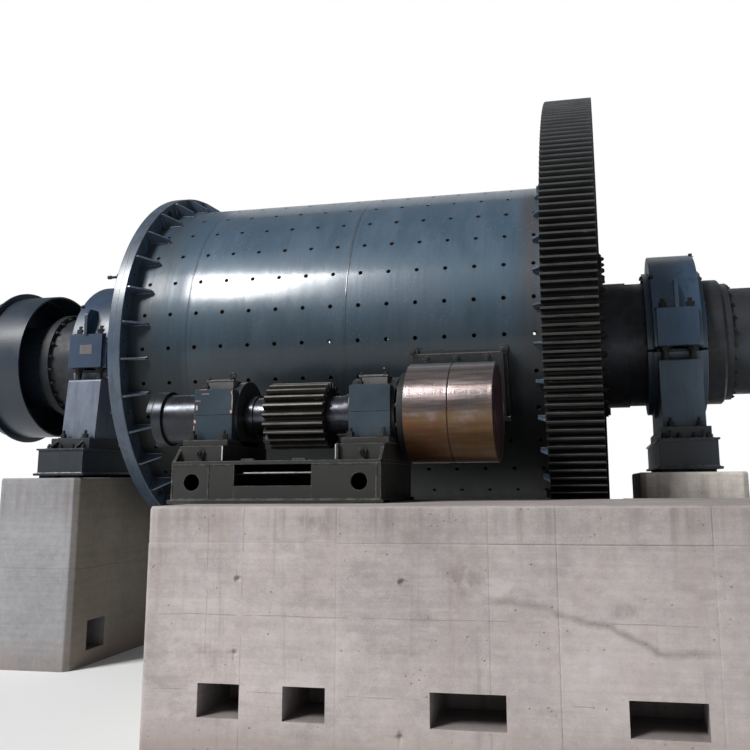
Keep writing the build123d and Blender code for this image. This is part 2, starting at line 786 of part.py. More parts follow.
def pinion_outline():
    """Involute outline of the pinion in the plane across its axis."""
    pitch_radius = gear_module * pinion_teeth / 2
    base_radius = pitch_radius * math.cos(math.radians(pressure_angle))
    root_radius = pitch_radius - 1.25 * gear_module
    tip_radius = pitch_radius + gear_module
    alpha_pitch = math.radians(pressure_angle)
    inv_pitch = math.tan(alpha_pitch) - alpha_pitch
    half_pitch = math.pi / (2 * pinion_teeth)
    radii = [root_radius, base_radius + 4, pitch_radius, (pitch_radius + tip_radius) / 2, tip_radius]
    flank = [half_pitch - involute_point(base_radius, inv_pitch, r) for r in radii]
    flank[0] += 0.01
    points = []
    for i in range(pinion_teeth):
        centre = i * 2 * math.pi / pinion_teeth
        for r, a in zip(radii, flank):
            points.append((r * math.cos(centre - a), r * math.sin(centre - a)))
        for r, a in zip(reversed(radii), reversed(flank)):
            points.append((r * math.cos(centre + a), r * math.sin(centre + a)))
    return points


teeth_face = make_face(Polyline(*[(pinion_low, y, z) for y, z in pinion_outline()], close=True))
pinion_gear = extrude(teeth_face, amount=pinion_face_width, dir=(1, 0, 0))
pinion_gear -= disc(pinion_low - 5, pinion_high + 5, pinion_shaft_radius)
keep("pinion_gear", on_pinion_axis(pinion_gear))

coupling = tube(hub_low, hub_high, hub_radius, pinion_journal_radius)
coupling += tube(shaft_low, hub_low, coupling_flange_radius, pinion_journal_radius)
for start in (jaw_first_angle, jaw_first_angle + 180):
    coupling += tube(shaft_low - jaw_length, shaft_low, coupling_flange_radius, jaw_inner_radius,
                     start, jaw_sector)
keep("jaw_coupling_half", on_pinion_axis(coupling))

keep("clutch_disc", on_pinion_axis(tube(disc_low, disc_high, disc_radius, pinion_journal_radius)))
groove = tube(disc_high + drum_half_length - drum_groove, disc_high + drum_half_length,
              drum_radius + 1, drum_radius - drum_groove_depth)
drum_left = tube(disc_high, disc_high + drum_half_length, drum_radius, drum_radius - drum_wall)
drum_left += tube(disc_high, disc_high + drum_end_plate, drum_radius - 1, pinion_journal_radius)
drum_right = tube(disc_high + drum_half_length, drum_high, drum_radius, drum_radius - drum_wall)
keep("clutch_drum_left", on_pinion_axis(drum_left - groove))
keep("clutch_drum_right", on_pinion_axis(drum_right))
end_plate = tube(plate_low, plate_high, drum_radius - drum_wall, pinion_journal_radius)
end_plate += tube(plate_low - drum_hub_length, plate_low, drum_hub_radius, pinion_journal_radius)
keep("clutch_end_plate", on_pinion_axis(end_plate))

os.makedirs("parts", exist_ok=True)
for name, piece in nodes.items():
    export_step(piece, f"parts/{name}.step")
print(f"{len(nodes)} nodes; footprint offset {footprint_x:.1f}, {footprint_y:.1f}")
print(f"pinion axis {pinion_y:.1f}, {pinion_z:.1f}; pier top {pier_top_z:.1f}")
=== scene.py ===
"""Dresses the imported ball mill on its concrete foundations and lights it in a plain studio.

Every length is in metres. Sizes of mill pieces are measured from the mill axis at the middle of the
shell, those of the pinion assembly from the middle of the pinion. A front angle is zero towards the
drive side (-Y) and grows upwards.
"""

import logging
import math
from dataclasses import dataclass
from enum import Enum
from typing import Callable, Sequence, Union

import bmesh
import bpy
import numpy as np
from mathutils import Matrix, Vector


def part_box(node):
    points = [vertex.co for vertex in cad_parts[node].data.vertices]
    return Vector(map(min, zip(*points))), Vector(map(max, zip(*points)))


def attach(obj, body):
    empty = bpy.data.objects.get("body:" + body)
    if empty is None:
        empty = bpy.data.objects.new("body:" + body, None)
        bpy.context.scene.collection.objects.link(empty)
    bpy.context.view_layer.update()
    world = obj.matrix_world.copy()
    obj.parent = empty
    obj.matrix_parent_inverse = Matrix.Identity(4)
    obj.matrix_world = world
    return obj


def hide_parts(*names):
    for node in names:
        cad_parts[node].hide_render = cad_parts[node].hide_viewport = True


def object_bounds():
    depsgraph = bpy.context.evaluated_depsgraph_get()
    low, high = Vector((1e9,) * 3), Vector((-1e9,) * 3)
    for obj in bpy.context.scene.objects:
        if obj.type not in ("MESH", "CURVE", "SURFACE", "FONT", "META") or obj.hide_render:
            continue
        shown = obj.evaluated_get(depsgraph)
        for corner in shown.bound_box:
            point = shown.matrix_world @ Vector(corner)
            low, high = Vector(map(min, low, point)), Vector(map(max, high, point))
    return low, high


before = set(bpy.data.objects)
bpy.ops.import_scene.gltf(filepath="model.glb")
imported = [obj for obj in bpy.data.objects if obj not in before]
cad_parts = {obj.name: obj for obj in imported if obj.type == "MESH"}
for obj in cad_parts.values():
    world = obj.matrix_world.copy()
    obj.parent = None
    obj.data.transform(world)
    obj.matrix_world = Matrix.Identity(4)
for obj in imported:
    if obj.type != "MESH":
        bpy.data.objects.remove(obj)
first_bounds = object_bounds()

Material = bpy.types.Material
Socket = bpy.types.NodeSocket
Value = Union[float, Sequence[float], Socket, "Field"]
log = logging.getLogger("mill")

LEFT_BEARING, RIGHT_BEARING = -2.735, 2.855
PRESSURE_ANGLE = math.radians(20)
# Where a square cell's sixteen-point rim meets its lower edge, in half widths from the cell's middle
RIM_SHARES = np.array([-1.0, -math.tan(math.radians(22.5)), 0.0, math.tan(math.radians(22.5))])


class Body(str, Enum):
    """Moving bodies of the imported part."""

    DRUM = "mill_drum"
    ROTOR = "pinion_rotor"
    GROUND = "foundation"


class Slot(str, Enum):
    """Material slots named in the part's record."""

    SHELL = "shell_paint"
    FLANGE = "flange_paint"
    GEAR = "gear_steel"
    BEARING = "bearing_paint"
    TRUNNION = "trunnion_steel"
    HOUSING = "housing_paint"
    SHAFT = "shaft_steel"
    DRUM = "drum_rust"
    END = "end_red"
    FRAME = "frame_paint"
    CONCRETE = "concrete"


# Geometry


@dataclass(frozen=True)
class Form:
    """Points and faces of a piece before it becomes a mesh.

    Attributes:
        points: Places of the corners, one row each.
        faces: Groups of faces, each group an array with one row of point numbers per face.
    """

    points: np.ndarray
    faces: tuple

    def under(self, matrix: np.ndarray) -> "Form":
        """The form carried by a 4 x 4 matrix, with its faces turned over where it mirrors."""
        points = self.points @ matrix[:3, :3].T + matrix[:3, 3]
        mirrored = np.linalg.det(matrix[:3, :3]) < 0
        return Form(points, tuple(f[:, ::-1] for f in self.faces) if mirrored else self.faces)

    def at(self, x: float = 0.0, y: float = 0.0, z: float = 0.0) -> "Form":
        """The form moved."""
        return Form(self.points + np.array([x, y, z]), self.faces)

    def mirrored(self) -> "Form":
        """The form at the other end of the mill."""
        return self.under(np.diag([-1.0, 1.0, 1.0, 1.0]))

    def levelled(self, low: float = -np.inf, high: float = np.inf) -> "Form":
        """The form with its points kept between two heights."""
        points = self.points.copy()
        points[:, 2] = np.clip(points[:, 2], low, high)
        return Form(points, self.faces)

    def spread(self, matrices: np.ndarray) -> "Form":
        """One form made of a copy under each matrix."""
        count, size = len(matrices), len(self.points)
        points = np.einsum("kij,nj->kni", matrices[:, :3, :3], self.points) + matrices[:, None, :3, 3]
        shift = (np.arange(count) * size)[:, None, None]
        faces = tuple((f[None] + shift).reshape(-1, f.shape[1]) for f in self.faces)
        return Form(points.reshape(-1, 3), faces)


def join(*forms: Form) -> Form:
    """One form made of several."""
    starts = np.cumsum([0] + [len(f.points) for f in forms[:-1]])
    faces = tuple(g + start for f, start in zip(forms, starts) for g in f.faces)
    return Form(np.concatenate([f.points for f in forms]), faces)


def carried(loops: np.ndarray, ring: bool = False, closed: bool = True) -> Form:
    """Skin over sections of equal count, neighbour to neighbour.

    Args:
        loops: Sections as (stations, points, 3).
        ring: Whether the last section joins the first; if not, a face closes each end.
        closed: Whether each section's last point joins its first.

    Returns:
        The skin.
    """
    stations, count = loops.shape[:2]
    index = np.arange(stations * count).reshape(stations, count)
    near = index if ring else index[:-1]
    far = np.roll(index, -1, axis=0) if ring else index[1:]
    quads = np.stack([near, np.roll(near, -1, 1), np.roll(far, -1, 1), far], -1)
    if not closed:
        quads = quads[:, :-1]
    faces = [quads.reshape(-1, 4)]
    if not ring and closed:
        faces += [index[:1, ::-1], index[-1:]]
    return Form(loops.reshape(-1, 3), tuple(faces))


def eased(corners: Sequence, ease: Union[float, Sequence[float]], steps: int = 3) -> np.ndarray:
    """Closed outline with each corner rounded by a short curve.

    Each corner P between A and B becomes the quadratic curve that leaves PA and meets PB at the
    eased distance from P.

    Args:
        corners: Corner points, two or three numbers each.
        ease: Distance from the corner, one number or one per corner.
        steps: Points on each curve.

    Returns:
        The rounded outline.
    """
    points = np.asarray(corners, float)
    back = np.roll(points, 1, 0) - points
    ahead = np.roll(points, -1, 0) - points
    back_length = np.linalg.norm(back, axis=1, keepdims=True)
    ahead_length = np.linalg.norm(ahead, axis=1, keepdims=True)
    wanted = np.broadcast_to(np.asarray(ease, float).reshape(-1, 1), back_length.shape)
    reach = np.minimum(wanted, 0.45 * np.minimum(back_length, ahead_length))
    start = points + back / back_length * reach
    end = points + ahead / ahead_length * reach
    t = np.linspace(0, 1, steps)[:, None, None]
    curve = (1 - t) ** 2 * start + 2 * t * (1 - t) * points + t**2 * end
    return curve.transpose(1, 0, 2).reshape(-1, points.shape[1])


def winding(outline: np.ndarray) -> float:
    """Whether a closed flat outline runs against the clock, 1, or with it, -1."""
    ahead = np.roll(outline, -1, 0)
    return float(np.sign(np.sum(outline[:, 0] * ahead[:, 1] - outline[:, 1] * ahead[:, 0])))


def inset(outline: np.ndarray, distance: float) -> np.ndarray:
    """Closed flat outline moved inwards by a distance, mitred at its corners."""
    ahead = np.roll(outline, -1, 0) - outline
    edge = ahead / np.linalg.norm(ahead, axis=1, keepdims=True)
    normal = np.stack([-edge[:, 1], edge[:, 0]], 1) * winding(outline)
    mitre = normal + np.roll(normal, 1, 0)
    return outline + mitre / np.sum(mitre * normal, 1, keepdims=True) * distance


def prism(outline: Sequence, low: float, high: float, axis: str = "x", ease: float = 0.003) -> Form:
    """Solid of constant outline with its two rims chamfered.

    The chamfer is kept small enough for the inset outline's edges not to cross.

    Args:
        outline: Flat outline in the two other axes, in their order x, y, z.
        low: Station of the first face.
        high: Station of the second face.
        axis: Axis that the outline is carried along.
        ease: Width of the rim's chamfer.

    Returns:
        The solid.
    """
    flat = np.asarray(outline, float)
    ahead = np.roll(flat, -1, 0) - flat
    heading = np.arctan2(ahead[:, 1], ahead[:, 0])
    bend = np.abs(np.angle(np.exp(1j * (heading - np.roll(heading, 1)))))
    shrink = np.tan(bend / 2)
    room = np.linalg.norm(ahead, axis=1) / np.maximum(shrink + np.roll(shrink, -1), 1e-6)
    ease = min(ease, 0.8 * float(room.min()))
    inner = inset(flat, ease)
    levels = ((inner, low), (flat, low + ease), (flat, high - ease), (inner, high))
    column = "xyz".index(axis)
    return carried(np.stack([np.insert(o, column, level, axis=1) for o, level in levels]))


def slab(low: Sequence[float], high: Sequence[float], ease: float = 0.004) -> Form:
    """Plate between two corners with all its edges rounded."""
    a, b = np.minimum(low, high), np.maximum(low, high)
    ease = min(ease, 0.3 * float(np.min(b - a)))
    outline = eased([(a[0], a[1]), (b[0], a[1]), (b[0], b[1]), (a[0], b[1])], ease)
    return prism(outline, a[2], b[2], "z", ease)


def on_front(x: np.ndarray, radius: np.ndarray, angle: np.ndarray) -> np.ndarray:
    """Points at stations along X, radii and front angles in degrees, broadcast together."""
    x, radius, angle = np.broadcast_arrays(x, radius, np.radians(angle))
    return np.stack([x, -radius * np.cos(angle), radius * np.sin(angle)], -1)


def even(count: int, first: float = 0.0) -> np.ndarray:
    """Front angles of a number of places spread evenly round the axis."""
    return np.arange(count) * 360 / count + first


def lathe(profile: Sequence, steps: int = 144, first: float = 0.0, last: float = 360.0) -> Form:
    """Closed (x, radius) profile carried round the X axis from one front angle to another."""
    ring = last - first >= 360
    angles = np.linspace(first, last, steps + 1)[: steps if ring else steps + 1]
    x, radius = np.asarray(profile, float).T
    return carried(on_front(x[None], radius[None], angles[:, None]), ring)


def tube(x_low: float, x_high: float, outer: float, inner: float, ease: float = 0.003, steps: int = 144,
         first: float = 0.0, last: float = 360.0) -> Form:
    """Turned ring with its rims rounded."""
    corners = [(x_low, inner), (x_high, inner), (x_high, outer), (x_low, outer)]
    return lathe(eased(corners, ease), steps, first, last)


def pipe(path: np.ndarray, radius: float, up: Sequence[float], steps: int = 10, ring: bool = False) -> Form:
    """Round bar carried along a path.

    The section at each point is a circle in the plane of the up direction and of the direction
    across the path.
    """
    along = np.gradient(path, axis=0)
    if ring:
        along = np.roll(path, -1, 0) - np.roll(path, 1, 0)
    along = along / np.linalg.norm(along, axis=1, keepdims=True)
    side = np.cross(along, up)
    side = side / np.linalg.norm(side, axis=1, keepdims=True)
    top = np.cross(side, along)
    turn = np.linspace(0, 2 * np.pi, steps, endpoint=False)[None, :, None]
    loops = path[:, None] + radius * (np.cos(turn) * side[:, None] + np.sin(turn) * top[:, None])
    return carried(loops, ring)


def bar(radius: float, low: float, high: float, steps: int = 12, ease: float = 0.002) -> Form:
    """Round bar along Z with chamfered ends."""
    turn = np.linspace(0, 2 * np.pi, steps, endpoint=False)
    circle = np.stack([np.cos(turn), np.sin(turn)], 1) * radius
    return prism(circle, low, high, "z", ease)


def shifts(spots: Sequence) -> np.ndarray:
    """Matrices that move a form to each spot."""
    spots = np.asarray(spots, float).reshape(-1, 3)
    matrices = np.tile(np.eye(4), (len(spots), 1, 1))
    matrices[:, :3, 3] = spots
    return matrices


def turns(angles: Sequence[float]) -> np.ndarray:
    """Matrices that carry a form from front angle zero to each front angle about the X axis."""
    a = np.radians(np.asarray(angles, float))
    matrices = np.tile(np.eye(4), (len(a), 1, 1))
    matrices[:, 1, 1] = matrices[:, 2, 2] = np.cos(a)
    matrices[:, 1, 2], matrices[:, 2, 1] = np.sin(a), -np.sin(a)
    return matrices


def standing(spots: Sequence, outward: Sequence, twists: Union[float, np.ndarray] = 0.0) -> np.ndarray:
    """Matrices that stand a form built along +Z on spots of a surface.

    Args:
        spots: Places of the form's foot.
        outward: Direction of its Z axis, one or one per spot.
        twists: Turn about that axis in degrees, one or one per spot.

    Returns:
        One 4 x 4 matrix per spot.
    """
    spots = np.asarray(spots, float).reshape(-1, 3)
    z = np.broadcast_to(np.asarray(outward, float), spots.shape)
    z = z / np.linalg.norm(z, axis=1, keepdims=True)
    helper = np.where(np.abs(z[:, :1]) < 0.9, [[1.0, 0, 0]], [[0, 0, 1.0]])
    x = helper - np.sum(helper * z, 1, keepdims=True) * z
    x = x / np.linalg.norm(x, axis=1, keepdims=True)
    y = np.cross(z, x)
    twist = np.radians(np.broadcast_to(twists, len(spots)))[:, None]
    matrices = np.tile(np.eye(4), (len(spots), 1, 1))
    matrices[:, :3, 0] = x * np.cos(twist) + y * np.sin(twist)
    matrices[:, :3, 1] = y * np.cos(twist) - x * np.sin(twist)
    matrices[:, :3, 2] = z
    matrices[:, :3, 3] = spots
    return matrices


def ripple(points: np.ndarray, pitch: float, seed: int, waves: int = 9) -> np.ndarray:
    """Smooth uneven field over points, about -1 to 1: a sum of plane waves of random directions."""
    rng = np.random.default_rng(seed)
    heading = rng.normal(size=(waves, 3))
    heading /= np.linalg.norm(heading, axis=1, keepdims=True)
    length = 2 * np.pi / (pitch * rng.uniform(0.7, 1.6, (waves, 1)))
    phase = rng.uniform(0, 2 * np.pi, waves)
    return np.sin(points @ (heading * length).T + phase).sum(-1) / (0.6 * waves)


def punched(centres: np.ndarray, half: Sequence[float], hole: float, heights: Sequence[float],
            shut: np.ndarray, through: bool, place: Callable) -> Form:
    """Plate made of cells side by side, each with a round hole.

    A cell is a stack of sixteen-point loops: the cell's edge, two loops between it and the hole,
    the hole's rim and its wall. A hole right through goes on to the same loops of the inner face;
    a blind one ends in a floor. Neighbouring cells share the points of their edges.

    Args:
        centres: Middles of the cells as (cells, 2).
        half: Half sizes of a cell.
        hole: Radius of the holes.
        heights: Depth of the outer face, then of the inner face or of the blind holes' floor.
        shut: Which cells have no hole.
        through: Whether the holes go right through.
        place: Turns flat places and depths into points.

    Returns:
        The perforated face, or both faces when the holes go through.
    """
    turn = np.radians(np.arange(16) * 22.5)
    ray = np.stack([np.cos(turn), np.sin(turn)], 1)
    rim = ray / np.abs(ray).max(1, keepdims=True) * np.asarray(half)
    lip, wall = ray * (hole + 0.0016), ray * hole
    top, low = heights
    flats = [rim, 0.55 * rim + 0.45 * lip, 0.2 * rim + 0.8 * lip, lip, wall, wall]
    depths = [top, top, top, top, top + 0.0016, low]
    if through:
        flats, depths = flats + [lip, rim], depths[:5] + [low - 0.0016, low, low]
    flat = centres[:, None, None] + np.stack(flats)
    points = place(flat[..., 0], flat[..., 1], np.array(depths)[None, :, None])
    index = np.arange(points.size // 3).reshape(points.shape[:-1])

    def skins(block: np.ndarray, levels: Sequence[int]) -> np.ndarray:
        """Quads between each level and the next."""
        near, far = block[:, levels], block[:, [n + 1 for n in levels]]
        return np.stack([near, np.roll(near, -1, 2), np.roll(far, -1, 2), far], -1).reshape(-1, 4)

    pierced_cells, plain = index[~shut], index[shut]
    faces = [skins(pierced_cells, range(len(flats) - 1)), skins(plain, [0, 1, 2]), plain[:, 3]]
    if through:
        faces += [skins(plain, [6]), plain[:, 6, ::-1]]
    else:
        faces.append(pierced_cells[:, -1])
    return Form(points.reshape(-1, 3), tuple(f for f in faces if len(f)))


@dataclass(frozen=True)
class Fastener:
    """Hexagon nut or head on a washer, with the end of its stud.

    Attributes:
        across: Width across the hexagon's flats.
        height: Height of the hexagon.
        washer: Thickness of the washer, or zero for none.
        stud: Height of the stud over the hexagon, or zero for a bolt head.
    """

    across: float
    height: float
    washer: float = 0.0
    stud: float = 0.0

    def form(self) -> Form:
        """The fastener with its foot at the origin and its axis along +Z."""
        turn = np.radians(np.arange(6) * 60.0)
        flat = np.stack([np.cos(turn), np.sin(turn)], 1) * self.across / math.sqrt(3)
        chamfer = 0.09 * self.height
        levels = ((1.0, self.washer), (1.0, self.washer + self.height - chamfer),
                  (0.86, self.washer + self.height))
        loops = np.stack([np.insert(flat * s, 2, z, axis=1) for s, z in levels])
        parts = [carried(loops)]
        if self.washer:
            parts.append(bar(0.98 * self.across, 0, self.washer, 14, 0.15 * self.washer))
        if self.stud:
            foot = self.washer + 0.5 * self.height
            parts.append(bar(0.29 * self.across, foot, foot + 0.5 * self.height + self.stud, 10,
                             0.05 * self.across))
        return join(*parts)

    def on(self, spots: Sequence, outward: Sequence, twists: Union[float, np.ndarray] = 0.0) -> Form:
        """Fasteners standing on spots of a surface."""
        return self.form().spread(standing(spots, outward, twists))

    def round(self, x: float, radius: float, angles: np.ndarray, way: int = 1) -> Form:
        """Fasteners at front angles round the axis on a face that looks along X."""
        return self.on(on_front(x, radius, angles), (way, 0, 0), angles)


def eyebolt(ring: float, bar_radius: float, collar: float) -> Form:
    """Lifting eye on a round collar, its foot at the origin and its ring in the XZ plane.

    Args:
        ring: Radius of the ring's centre line.
        bar_radius: Radius of its bar.
        collar: Radius of the collar.

    Returns:
        The eye.
    """
    turn = np.linspace(0, 2 * np.pi, 28, endpoint=False)
    height = 0.6 * collar + ring + bar_radius
    path = np.stack([ring * np.cos(turn), 0 * turn, height + ring * np.sin(turn)], 1)
    return join(pipe(path, bar_radius, (0, 1, 0), 10, ring=True),
                bar(collar, 0, 0.7 * collar, 16, 0.2 * collar))


def weld(path: np.ndarray, radius: float, up: Sequence[float], seed: int = 1) -> Form:
    """Weld bead along a path, its radius swelling and its line wandering a little."""
    bead = pipe(path, radius, up, 7)
    loops = bead.points.reshape(len(path), 7, 3)
    swell = 1 + 0.22 * ripple(path, 6 * radius, seed)[:, None, None]
    return Form((path[:, None] + (loops - path[:, None]) * swell).reshape(-1, 3), bead.faces)


def straight(start: Sequence[float], end: Sequence[float], pitch: float = 0.012) -> np.ndarray:
    """Points at an even pitch from start to end."""
    start, end = np.asarray(start, float), np.asarray(end, float)
    count = max(2, int(np.linalg.norm(end - start) / pitch))
    return start + (end - start) * np.linspace(0, 1, count)[:, None]


def pierced(low: Sequence[float], high: Sequence[float], centre: Sequence[float], radius: float,
            faces: tuple, axis: str = "y") -> Form:
    """Rectangular plate with one round hole.

    The section is carried from the rectangle's rim inwards to the hole on one face, through the
    hole, and back out on the other face. Its stations are even turns and the four corners.

    Args:
        low: Low corner of the rectangle in the plate's plane.
        high: High corner of the rectangle.
        centre: Centre of the hole.
        radius: Radius of the hole.
        faces: Stations of the two faces along the axis.
        axis: Axis across the plate.

    Returns:
        The plate.
    """
    low, high, centre = (np.asarray(v, float) for v in (low, high, centre))
    corners = np.array([low, (high[0], low[1]), high, (low[0], high[1])]) - centre
    turn = np.unique(np.concatenate([np.linspace(-np.pi, np.pi, 49)[:-1],
                                     np.arctan2(corners[:, 1], corners[:, 0])]).round(9))
    ray = np.stack([np.cos(turn), np.sin(turn)], 1)
    room = np.where(ray > 0, high - centre, centre - low) / np.maximum(np.abs(ray), 1e-9)
    rim = centre + ray * room.min(1, keepdims=True)
    ease = 0.002
    hole, lip = centre + ray * radius, centre + ray * (radius + ease)
    a, b = faces
    section = ((rim, a), (lip, a), (hole, a + ease), (hole, b - ease), (lip, b), (rim, b))
    column = "xyz".index(axis)
    loops = np.stack([np.insert(flat, column, level, axis=1) for flat, level in section], 1)
    return carried(loops, ring=True)


# Finishes


def tone(red: int, green: int, blue: int) -> tuple:
    """Linear colour of an 8-bit display colour."""
    c = np.array([red, green, blue]) / 255
    linear = np.where(c <= 0.04045, c / 12.92, ((c + 0.055) / 1.055) ** 2.4)
    return (*linear.tolist(), 1.0)


class Field:
    """Number or colour worked out in a node graph; arithmetic on it adds nodes."""

    def __init__(self, recipe: "Recipe", socket: Socket) -> None:
        """Keeps the graph and the socket that carries the value."""
        self.recipe, self.socket = recipe, socket

    def __add__(self, other: Value) -> "Field":
        """This value plus another."""
        return self.recipe.maths("ADD", self, other)

    def __sub__(self, other: Value) -> "Field":
        """This value less another."""
        return self.recipe.maths("SUBTRACT", self, other)

    def __rsub__(self, other: Value) -> "Field":
        """Another value less this one."""
        return self.recipe.maths("SUBTRACT", other, self)

    def __mul__(self, other: Value) -> "Field":
        """This value times another."""
        return self.recipe.maths("MULTIPLY", self, other)

    def __truediv__(self, other: Value) -> "Field":
        """This value divided by another."""
        return self.recipe.maths("DIVIDE", self, other)

    def __abs__(self) -> "Field":
        """This value without its sign."""
        return self.recipe.maths("ABSOLUTE", self)


class Recipe:
    """A material's node graph, written as short calls."""

    def __init__(self, name: str) -> None:
        """Starts a material of that name with one surface shader."""
        self.material = bpy.data.materials.new(name)
        self.material.use_nodes = True
        self.tree = self.material.node_tree
        self.tree.nodes.clear()
        self.shader = self.tree.nodes.new("ShaderNodeBsdfPrincipled")
        end = self.tree.nodes.new("ShaderNodeOutputMaterial")
        self.tree.links.new(self.shader.outputs[0], end.inputs["Surface"])

    def feed(self, socket: Socket, value: Value) -> None:
        """Links a socket or sets its constant."""
        value = value.socket if isinstance(value, Field) else value
        if isinstance(value, Socket):
            self.tree.links.new(value, socket)
        else:
            socket.default_value = value

    def add(self, kind: str, inputs: dict, output: Union[int, str] = 0, **settings) -> Field:
        """Adds a node and returns one of its outputs.

        Args:
            kind: Blender's name of the node type.
            inputs: Values by input name or number.
            output: Name or number of the output wanted.
            **settings: Properties of the node.

        Returns:
            The output.
        """
        node = self.tree.nodes.new(kind)
        for key, value in settings.items():
            setattr(node, key, value)
        for key, value in inputs.items():
            self.feed(node.inputs[key], value)
        return Field(self, node.outputs[output])

    def place(self) -> Field:
        """Place of the shaded point in the shared frame."""
        return self.add("ShaderNodeTexCoord", {}, "Object")

    def about(self, axis: Vector) -> Field:
        """Place of the shaded point seen from an axis of the machine."""
        return self.add("ShaderNodeVectorMath", {0: self.place(), 1: axis}, operation="SUBTRACT")

    def stretch(self, vector: Field, x: float, y: float, z: float) -> Field:
        """A vector scaled axis by axis."""
        return self.add("ShaderNodeVectorMath", {0: vector, 1: (x, y, z)}, operation="MULTIPLY")

    def split(self, vector: Field) -> tuple:
        """The three numbers of a vector."""
        node = self.tree.nodes.new("ShaderNodeSeparateXYZ")
        self.feed(node.inputs[0], vector)
        return tuple(Field(self, output) for output in node.outputs)

    def noise(self, vector: Field, scale: float, detail: float = 3.0, rough: float = 0.55) -> Field:
        """Cloudy field, about 0.3 to 0.7."""
        inputs = {"Vector": vector, "Scale": scale, "Detail": detail, "Roughness": rough}
        return self.add("ShaderNodeTexNoise", inputs)

    def grade(self, value: Field, low: float, high: float, start: float = 0.0, end: float = 1.0) -> Field:
        """Value eased from start to end as it goes from low to high."""
        inputs = {0: value, 1: low, 2: high, 3: start, 4: end}
        return self.add("ShaderNodeMapRange", inputs, interpolation_type="SMOOTHSTEP")

    def sway(self, noise: Field, start: float, end: float) -> Field:
        """A cloudy field spread from start to end."""
        return self.grade(noise, 0.3, 0.7, start, end)

    def maths(self, operation: str, a: Value, b: Value = 0.0, c: Value = 0.0) -> Field:
        """One arithmetic step."""
        return self.add("ShaderNodeMath", {0: a, 1: b, 2: c}, operation=operation)

    def mix(self, share: Field, a: Value, b: Value) -> Field:
        """Colour a turning into colour b."""
        return self.add("ShaderNodeMix", {0: share, 6: a, 7: b}, 2, data_type="RGBA")

    def tint(self, colour: Value, factor: Field) -> Field:
        """A colour made lighter or darker by a factor."""
        start = colour if isinstance(colour, Field) else colour[:3]
        return self.add("ShaderNodeVectorMath", {0: start, "Scale": factor}, operation="SCALE")

    def relief(self, height: Field, depth: float) -> Field:
        """Normal of a surface raised by height times depth."""
        return self.add("ShaderNodeBump", {"Height": height, "Distance": depth, "Strength": 1.0})

    def edges(self, radius: float) -> Field:
        """Share of wear near outer and inner edges, from how far a rounded normal leans."""
        rounded = self.add("ShaderNodeBevel", {"Radius": radius}, samples=4)
        plain = self.add("ShaderNodeNewGeometry", {}, "Normal")
        lean = self.add("ShaderNodeVectorMath", {0: rounded, 1: plain}, "Value", operation="DOT_PRODUCT")
        return self.grade(lean, 0.995, 0.86)

    def hollows(self, reach: float) -> Field:
        """Share of open air round a point, 0 deep in a corner to 1 on an open face."""
        air = self.add("ShaderNodeAmbientOcclusion", {"Distance": reach}, "AO", samples=6)
        return self.grade(air, 0.15, 0.85)

    def done(self, colour: Value, roughness: Value, metallic: Value = 0.0,
             normal: Union[Field, None] = None, coat: Value = 0.0,
             coat_rough: float = 0.2, mirror: float = 0.5) -> Material:
        """Sets the surface shader and returns the material."""
        values = {"Base Color": colour, "Roughness": roughness, "Metallic": metallic,
                  "Specular IOR Level": mirror}
        if normal is not None:
            values["Normal"] = normal
        if isinstance(coat, Field) or coat:
            values.update({"Coat Weight": coat, "Coat Roughness": coat_rough})
        for name, value in values.items():
            self.feed(self.shader.inputs[name], value)
        return self.material


